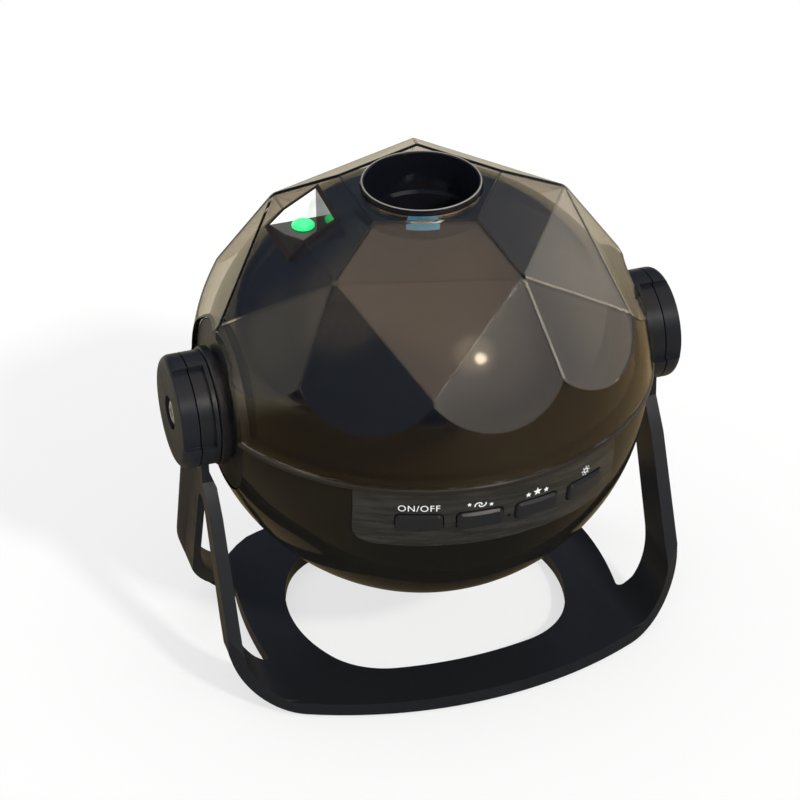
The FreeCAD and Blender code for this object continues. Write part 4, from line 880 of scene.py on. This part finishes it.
@dataclass
class Stand:
    """The forked stand, its rubber feet and the nylon washers at its two hubs."""

    edge: float = 0.45
    corner_start: float = 40.0
    corner_end: float = 55.5
    corner_depth: float = 52.6
    leg_half: float = 39.5
    plate_top: float = 5.1

    def ease_rear_corners(self, points: np.ndarray) -> np.ndarray:
        """Sweep the base's rear corners in to the legs.

        With t = (|x| - start) / (end - start) limited to 0..1, a point of the base between start and
        end goes no further back than leg + (depth - leg) (1 - t^1.5).

        Args:
            points: the stand's points in millimetres.

        Returns:
            The points with the rear corners drawn in.
        """
        across = np.abs(points[:, 0])
        share = np.clip((across - self.corner_start) / (self.corner_end - self.corner_start), 0.0, 1.0)
        limit = self.leg_half + (self.corner_depth - self.leg_half) * (1 - share**1.5)
        base = (across > self.corner_start) & (points[:, 2] < self.plate_top) & (points[:, 1] > self.leg_half)
        eased = points.copy()
        eased[:, 1] = np.where(base, np.minimum(points[:, 1], limit), points[:, 1])
        return eased

    def dress(self) -> None:
        """Satin black plastic with rubber below and nylon at the pivots."""
        dress(STAND_BLACK, "stand")
        Softening(self.edge).make("stand", STAND_BLACK, "stand", self.ease_rear_corners)
        dress(FOOT_RUBBER, "base_feet")
        dress(WASHER_NYLON, "left_friction_washer", "right_friction_washer")


class Side(Enum):
    """The two sides of the head that a pivot can be on."""

    LEFT = "left"
    RIGHT = "right"


@dataclass
class Pivot:
    """One side's pivot: the knob and its screw, the pad on the head and the stud in it."""

    side: Side
    edge: float = 0.5
    least_angle: float = 28.0

    def dress(self) -> None:
        """Charcoal knob, bright screw and stud, black pad."""
        side = self.side.value
        knob = f"{side}_knob"
        dress(KNOB_BLACK, knob)
        Softening(self.edge, self.least_angle).make(knob, KNOB_BLACK, knob)
        dress(SCREW_STEEL, f"{side}_knob_screw", f"{side}_pivot_stud")
        dress(PAD_BLACK, f"{side}_side_pad")


@dataclass
class Dome:
    """The faceted clear dome over the dark inner one, and the seam ring below them.

    Lengths are in millimetres. Edge lines lie between outer facets of at least an area in square
    millimetres that meet at a least angle in degrees. An outer facet's plane is further from the
    head's centre than a reach. A line is a painted highlight where its middle is right of one limit
    and below another, and painted shade elsewhere.
    """

    edge: float = 0.45
    least_turn: float = 7.0
    line_width: float = 0.85
    line_sink: float = 0.05
    least_angle: float = 9.0
    least_area: float = 25.0
    facet_reach: float = 60.0
    lit_side: float = 14.0
    lit_top: float = 132.0

    def between_facets(self, edge: bmesh.types.BMEdge) -> bool:
        """Whether an edge of the merged dome is one between two large outer facets.

        Args:
            edge: the edge.

        Returns:
            True for an edge that gets a line.
        """
        faces = edge.link_faces
        if len(faces) != 2 or edge.calc_face_angle(0.0) < math.radians(self.least_angle):
            return False
        middle = Vector((0.0, 0.0, HEAD.height * MM))
        return all(
            face.calc_area() >= self.least_area * MM * MM
            and face.normal.dot(face.calc_center_median() - middle) >= self.facet_reach * MM
            for face in faces
        )

    def edge_strip(self, edge: bmesh.types.BMEdge) -> np.ndarray:
        """The four corners of the strip on an edge.

        An edge from a to b between facets of normals m and n gets a strip with corners
        a + d and b + d, where d = -s k + w (b - a) x k / (2 |b - a|) for both signs of w, and
        k is the unit vector along m + n, s the sink and w the width.

        Args:
            edge: an edge between two facets.

        Returns:
            Four rows, wound so that the strip faces outwards.
        """
        start, end = (np.array(vert.co) for vert in edge.verts)
        out = np.array((edge.link_faces[0].normal + edge.link_faces[1].normal).normalized())
        along = end - start
        side = np.cross(along, out) / np.linalg.norm(along) * self.line_width * MM / 2
        sink = out * self.line_sink * MM
        corners = np.array([start - side, start + side, end + side, end - side]) - sink
        if np.dot(np.cross(corners[1] - corners[0], corners[2] - corners[0]), out) < 0:
            corners = corners[::-1]
        return corners

    def edge_lines(self) -> None:
        """Narrow strips on the edges between facets: painted highlights on the lit side, painted shade on the
        rest.
        """
        shell = merged_shell("faceted_dome")
        strips: dict[bool, list[np.ndarray]] = {True: [], False: []}
        for edge in shell.edges:
            if self.between_facets(edge):
                across, _, up = (edge.verts[0].co + edge.verts[1].co) / 2 / MM
                # A painted highlight on the lines right and low on the dome, painted shade on the others.
                strips[across > self.lit_side and up < self.lit_top].append(self.edge_strip(edge))
        shell.free()
        kinds = ((True, "edge_lines_painted_highlight", EDGE_PAINTED_HIGHLIGHT), (False, "edge_lines_painted_shade", EDGE_PAINTED_SHADE))
        for lit, name, finish in kinds:
            points = np.concatenate(strips[lit])
            faces = np.arange(len(points)).reshape(-1, 4)
            mesh_piece(name, points, faces, finish, "head", smooth=False)

    def dress(self) -> None:
        """Smoked clear plastic over glossy navy."""
        dress(DOME_SMOKE, "faceted_dome")
        Softening(self.edge, self.least_turn).make("faceted_dome", DOME_SMOKE, "head")
        self.edge_lines()
        dress(INNER_NAVY, "inner_dome")
        dress(RING_SMOKE, "trim_ring")


@dataclass
class LensPort:
    """The nebula lens at the top of the head: its collar, glass and lit window."""

    rim_radius: float = 17.25
    rim_height: float = 63.45
    rim_thickness: float = 0.26
    rim_steps: int = 144
    section_steps: int = 10

    def rim(self) -> None:
        """A painted highlight on the collar's edge: a pale ring of round section.

        At turn u and section turn v a point is ((R + t cos v) cos u, (R + t cos v) sin u, z + t sin v).
        The row after the last is the first again, so point numbers wrap.
        """
        turns = np.arange(self.rim_steps) * math.tau / self.rim_steps
        section = np.arange(self.section_steps) * math.tau / self.section_steps
        u, v = np.meshgrid(turns, section, indexing="ij")
        out = self.rim_radius + self.rim_thickness * np.cos(v)
        rise = self.rim_height + self.rim_thickness * np.sin(v)
        points = np.stack([out * np.cos(u), out * np.sin(u), rise], axis=-1).reshape(-1, 3)
        faces = grid_faces(self.rim_steps + 1, self.section_steps, True) % len(points)
        mesh_piece("collar_rim_painted_highlight", HEAD.place(points), faces, RIM_PAINTED_HIGHLIGHT, "head")

    def dress(self) -> None:
        """Glossy collar, clear glass, cyan window."""
        dress(COLLAR_BLACK, "lens_collar")
        # The pale ring is a painted highlight on the collar's edge.
        self.rim()
        dress(LENS_GLASS, "front_lens", "condenser_lens")
        dress(CYAN_GLOW, "glow_window")


@dataclass
class StarPort:
    """The star opening: its tub with a cheek painted as glowing white light, green lens, grating and laser.
    """

    cheek_place: float = 14.5
    cheek_lift: float = 0.06
    cheek_slack: float = 0.02

    def cheek(self) -> None:
        """Painted light on the rear cheek: a glowing white skin on the tub's faces in that plane, set forward
        by the lift.
        """
        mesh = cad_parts["star_tub"].data
        mesh.calc_loop_triangles()
        corners = np.empty(len(mesh.loop_triangles) * 3, dtype=np.int32)
        mesh.loop_triangles.foreach_get("vertices", corners)
        triangles = HEAD.unplace(points_of(mesh))[corners].reshape(-1, 3, 3)
        flat = np.all(np.abs(triangles[:, :, 1] - self.cheek_place) < self.cheek_slack, axis=1)
        skin = triangles[flat].reshape(-1, 3) - np.array([0.0, self.cheek_lift, 0.0])
        faces = np.arange(len(skin)).reshape(-1, 3)
        mesh_piece("star_cheek_painted_glow", HEAD.place(skin), faces, CHEEK_PAINTED_GLOW, "head", smooth=False)

    def dress(self) -> None:
        """Brown tub with a painted white glow on its cheek, and a lit green lens over the brass laser."""
        dress(TUB_BROWN, "star_tub")
        self.cheek()
        dress(GREEN_GLOW, "star_lens")
        dress(GRATING_GLASS, "star_grating")
        dress(LASER_BRASS, "laser_module")
        dress(CHASSIS_GREY, "laser_holder")


@dataclass
class Bowl:
    """The lower half of the head with the power inlet at its back."""

    def dress(self) -> None:
        """Glossy black bowl and a duller inlet."""
        dress(BOWL_BLACK, "lower_bowl")
        dress(INLET_BLACK, "power_inlet")


@dataclass
class ControlPanel:
    """The smoked panel with its four buttons, the signs printed over them, and the switches behind."""

    radius: float = 68.25
    edge: float = 0.3
    least_angle: float = 35.0
    print_lift: float = 0.06
    sign_elevation: float = -3.0
    sign_height: float = 2.1
    word_width: float = 11.9
    line: float = 0.36
    buttons: tuple[str, ...] = ("power_button", "nebula_button", "star_button", "lamp_button")
    first_azimuth: float = -19.55
    azimuth_step: float = 14.7

    def wrap(self, flat: np.ndarray, azimuth: float) -> np.ndarray:
        """Lay flat points on the panel's ball.

        The point (x, y) goes to azimuth a + x / (R cos e) and elevation e = e0 + y / R, at
        R (sin a cos e, -cos a cos e, sin e).

        Args:
            flat: two columns, millimetres to the right and up from the sign's middle.
            azimuth: the sign's middle, in degrees.

        Returns:
            Points in world metres.
        """
        rise = math.radians(self.sign_elevation) + flat[:, 1] / self.radius
        turn = math.radians(azimuth) + flat[:, 0] / (self.radius * np.cos(rise))
        way = np.stack([np.sin(turn) * np.cos(rise), -np.cos(turn) * np.cos(rise), np.sin(rise)], axis=1)
        return HEAD.place(way * (self.radius + self.print_lift))

    def print_labels(self) -> None:
        """White signs: ON/OFF over the power button and plain pictures over the others."""
        small, side_star = star_sign(0.75), star_sign(0.95)
        signs = (
            word_sign("ON/OFF", self.word_width, self.sign_height),
            joined_sign([
                spiral_sign(self.sign_height * 0.62, self.line),
                shifted_sign(small, -3.2, 0.4),
                shifted_sign(small, 3.2, -0.4),
            ]),
            joined_sign([
                star_sign(1.4),
                shifted_sign(side_star, -2.9, -0.3),
                shifted_sign(side_star, 2.9, -0.3),
            ]),
            lamp_sign(0.72, 0.5, self.line),
        )
        for number, (button, (flat, faces)) in enumerate(zip(self.buttons, signs)):
            points = self.wrap(flat, self.first_azimuth + number * self.azimuth_step)
            mesh_piece(f"{button}_sign", points, faces, PRINT_WHITE, "head", smooth=False)

    def dress(self) -> None:
        """Panel and buttons, and what is behind them."""
        dress(PANEL_SMOKE, "control_panel")
        for button in self.buttons:
            dress(BUTTON_BLACK, button)
            Softening(self.edge, self.least_angle, 2).make(button, BUTTON_BLACK, button)
        self.print_labels()
        dress(BOARD_GREEN, "switch_board", "main_board")
        dress(SWITCH_CASE, "tact_switches")


@dataclass
class Works:
    """Everything inside: the chassis, lamp, disc, motor and screws."""

    def dress(self) -> None:
        """Grey chassis, metal parts, white gears, coloured disc."""
        dress(CHASSIS_GREY, "chassis", "lamp_tube")
        dress(SCREW_STEEL, "chassis_screws", "pad_screws", "board_screws")
        dress(SCREW_STEEL, "disc_axle", "axle_clip", "motor_shaft")
        dress(SINK_ALUMINIUM, "heat_sink")
        dress(BOARD_WHITE, "led_board")
        dress(LED_YELLOW, "lamp_led")
        dress(DISC_CLOUDS, "nebula_disc")
        dress(MOTOR_CASE, "motor")
        dress(GEAR_WHITE, "motor_pinion")


# ---------------------------------------------------------------- studio


def direction_of(azimuth: float, elevation: float) -> Vector:
    """The unit vector at an azimuth from the front towards the right and an elevation, in degrees."""
    turn, rise = math.radians(azimuth), math.radians(elevation)
    return Vector((math.sin(turn) * math.cos(rise), -math.cos(turn) * math.cos(rise), math.sin(rise)))


@dataclass(frozen=True)
class Glow:
    """A soft area of the sky that glossy surfaces mirror; its angles are in degrees."""

    azimuth: float
    elevation: float
    inner: float
    outer: float
    colour: Colour

    def share(self, sheet: NodeSheet, direction: Wire) -> Wire:
        """1 inside the inner angle round the middle and 0 outside the outer one, smooth between.

        Args:
            sheet: the world's node sheet.
            direction: the direction looked in.

        Returns:
            The area's share of what is seen there.
        """
        inputs = {0: direction, 1: tuple(direction_of(self.azimuth, self.elevation))}
        near = sheet.put("ShaderNodeVectorMath", {"operation": "DOT_PRODUCT"}, inputs, "Value")
        return near.ramp(math.cos(math.radians(self.outer)), math.cos(math.radians(self.inner)))


@dataclass
class Studio:
    """Pale floor, one soft sun, a plain sky and the camera.

    The floor's limits are in millimetres. To the eye it keeps its shadow near the object and is plain
    white from fade_end on. In mirrors it carries a painted shade round shade_front, a place before the
    object, and is brown further out, dimmer to the left, and pale behind.
    """

    camera_place: Colour = (-0.23745, -0.71819, 0.53093)
    camera_aim: Colour = (0.261734, 0.816025, -0.515363)
    camera_up: Colour = (0.181599, 0.482801, 0.856694)
    lens: float = 131.69
    sensor: float = 36.0
    plain: Colour = (0.75, 0.75, 0.76)
    ground: Colour = (0.27, 0.20, 0.11)
    dim_ground: Colour = (0.12, 0.088, 0.048)
    pale_ground: Colour = (0.54, 0.50, 0.39)
    # Painted shade that mirrors show on the floor near the object.
    mirrored_painted_shade: Colour = (0.02, 0.017, 0.013)
    floor_half: float = 6000.0
    floor_paint: Colour = (0.98, 0.98, 0.98)
    least_white: float = 0.66
    fade_start: float = 240.0
    fade_end: float = 480.0
    shade_front: float = 88.0
    shade_start: float = 30.0
    shade_end: float = 165.0
    dim_left: float = -260.0
    dim_right: float = 120.0
    pale_slant: float = 0.25
    pale_start: float = 110.0
    pale_end: float = 330.0
    horizon: Colour = (0.03, 0.04, 0.08)
    blue: Colour = (0.11, 0.14, 0.20)
    zenith: Colour = (1.05, 0.84, 0.70)
    sun_azimuth: float = 20.0
    sun_elevation: float = 37.0
    sun_strength: float = 1.7
    sun_spread: float = 6.0
    image_strength: float = 0.12
    image_spread: float = 1.4
    sun_colour: Colour = (1.0, 0.97, 0.93)
    sun_reach: float = 2.0
    glows: tuple[Glow, ...] = (
        Glow(-98.0, 56.0, 4.0, 34.0, (1.15, 1.02, 0.95)),  # high on the left
        Glow(-116.0, 20.0, 4.0, 24.0, (0.42, 0.41, 0.40)),  # low on the left
        Glow(101.0, 10.0, 6.0, 32.0, (1.05, 0.98, 0.93)),  # low on the right
        Glow(178.0, 68.0, 4.0, 30.0, (0.60, 0.60, 0.62)),  # high at the back
        Glow(26.0, 38.0, 4.0, 36.0, (0.86, 0.80, 0.77)),  # wide round the sun
        Glow(-9.0, 64.0, 4.0, 24.0, (1.08, 0.88, 0.74)),  # high at the front
        Glow(18.0, 40.0, 0.5, 13.0, (4.8, 4.4, 4.0)),  # close round the sun
    )

    def build(self) -> None:
        """Make the floor, sky, sun and camera."""
        self.floor()
        self.sky()
        self.sun("soft_sun", self.sun_strength, self.sun_spread, False)
        self.sun("sun_image", self.image_strength, self.image_spread, True)
        self.camera()

    @staticmethod
    def history(sheet: NodeSheet) -> tuple[Wire, Wire]:
        """Whether the light's path was mirrored, and whether it was scattered, on its way here.

        Args:
            sheet: the node sheet of the floor or the sky.

        Returns:
            Two wires, each 0 or 1.
        """
        mirrored = sheet.put("ShaderNodeLightPath", out="Glossy Depth").ramp(0.0, 1.0)
        scattered = sheet.put("ShaderNodeLightPath", out="Diffuse Depth").ramp(0.0, 1.0)
        return mirrored, scattered

    def floor(self) -> None:
        """A wide pale plane at the feet's level that keeps a light shadow."""
        half = self.floor_half * MM
        corners = [(-half, -half, 0), (half, -half, 0), (half, half, 0), (-half, half, 0)]
        mesh = bpy.data.meshes.new("studio_floor")
        mesh.from_pydata(corners, [], [(0, 1, 2, 3)])
        plane = bpy.data.objects.new("studio_floor", mesh)
        bpy.context.scene.collection.objects.link(plane)
        material = bpy.data.materials.new("floor_white")
        material.use_nodes = True
        sheet = NodeSheet(material.node_tree)
        paint = sheet.put("ShaderNodeBsdfDiffuse", inputs={"Color": self.floor_paint})
        white = sheet.put("ShaderNodeEmission", inputs={"Color": (1.0, 1.0, 1.0), "Strength": 1.0})
        x, y, _ = sheet.axes(sheet.point())
        far = ((x * x + y * y) ** 0.5).ramp(self.fade_start, self.fade_end)
        side_ground = sheet.mix(x.ramp(self.dim_left, self.dim_right), self.dim_ground, self.ground)
        behind = (y - x * self.pale_slant).ramp(self.pale_start, self.pale_end)
        lit_ground = sheet.mix(behind, side_ground, self.pale_ground)
        # Painted shade: in mirrors the floor turns dark round a place before the object.
        from_shade = y + self.shade_front
        shade_reach = (x * x + from_shade * from_shade) ** 0.5
        ground_with_painted_shade = sheet.mix(shade_reach.ramp(self.shade_start, self.shade_end), self.mirrored_painted_shade, lit_ground)
        tan = sheet.put("ShaderNodeEmission", inputs={"Color": ground_with_painted_shade, "Strength": 1.0})
        mirrored, scattered = self.history(sheet)
        direct = (1 - mirrored) * (1 - scattered)
        whiteness = (far * (1 - self.least_white) + self.least_white) * direct
        pale = sheet.put("ShaderNodeMixShader", inputs={0: whiteness, 1: paint, 2: white})
        whole = sheet.put("ShaderNodeMixShader", inputs={0: mirrored * (1 - scattered), 1: pale, 2: tan})
        put_output(sheet, whole)
        mesh.materials.append(material)

    def sky(self) -> None:
        """White to the eye and through clear plastic, plain for soft light, a gradient in mirrors."""
        world = bpy.data.worlds.new("studio_sky")
        bpy.context.scene.world = world
        world.use_nodes = True
        sheet = NodeSheet(world.node_tree)
        direction = sheet.put("ShaderNodeTexCoord", out="Generated")
        _, _, up = sheet.axes(direction)
        low = sheet.mix(up.ramp(-0.03, 0.03), self.ground, self.horizon)
        mirror = sheet.mix(up.ramp(0.08, 0.55), low, self.blue)
        mirror = sheet.mix(up.ramp(0.72, 0.98), mirror, self.zenith)
        for glow in self.glows:
            mirror = sheet.mix(glow.share(sheet, direction), mirror, glow.colour)
        mirrored, scattered = self.history(sheet)
        colour = sheet.mix(scattered, sheet.mix(mirrored, (1.0, 1.0, 1.0), mirror), self.plain)
        background = sheet.put("ShaderNodeBackground", inputs={"Color": colour, "Strength": 1.0})
        put_output(sheet, background, "ShaderNodeOutputWorld")

    def sun(self, name: str, strength: float, spread: float, glossy: bool) -> None:
        """A sun lamp that either lights surfaces or only shows its small round image in glossy ones.

        Args:
            name: the lamp's name.
            strength: what it gives a surface that faces it.
            spread: the angle that it takes up in the sky, in degrees.
            glossy: True for the lamp that only mirrors show.
        """
        light = bpy.data.lights.new(name, "SUN")
        light.angle = math.radians(spread)
        light.energy = strength
        light.color = self.sun_colour
        thing = bpy.data.objects.new(name, light)
        back = direction_of(self.sun_azimuth, self.sun_elevation)
        thing.rotation_euler = (-back).to_track_quat("-Z", "Y").to_euler()
        thing.location = back * self.sun_reach
        thing.visible_glossy = glossy
        thing.visible_diffuse = not glossy
        bpy.context.scene.collection.objects.link(thing)

    def camera(self) -> None:
        """The camera from its place, aim and upright direction."""
        data = bpy.data.cameras.new("camera")
        data.lens = self.lens
        data.sensor_width = self.sensor
        thing = bpy.data.objects.new("camera", data)
        aim = np.array(self.camera_aim) / np.linalg.norm(self.camera_aim)
        right = np.cross(aim, self.camera_up)
        right /= np.linalg.norm(right)
        turn = np.eye(4)
        turn[:3, 0], turn[:3, 1], turn[:3, 2] = right, np.cross(right, aim), -aim
        turn[:3, 3] = self.camera_place
        thing.matrix_world = Matrix(turn.tolist())
        data.clip_start, data.clip_end = 0.01, 50.0
        bpy.context.scene.collection.objects.link(thing)
        bpy.context.scene.camera = thing


def main() -> None:
    """Dress every sub-assembly and light it."""
    logging.basicConfig(level=logging.INFO, format="%(name)s: %(message)s")
    bpy.context.scene.view_settings.view_transform = "Standard"
    head = (Dome(), LensPort(), StarPort(), Bowl(), ControlPanel(), Works())
    for part in (Stand(), Pivot(Side.LEFT), Pivot(Side.RIGHT), *head):
        part.dress()
    Studio().build()


if __name__ == "__main__":
    main()
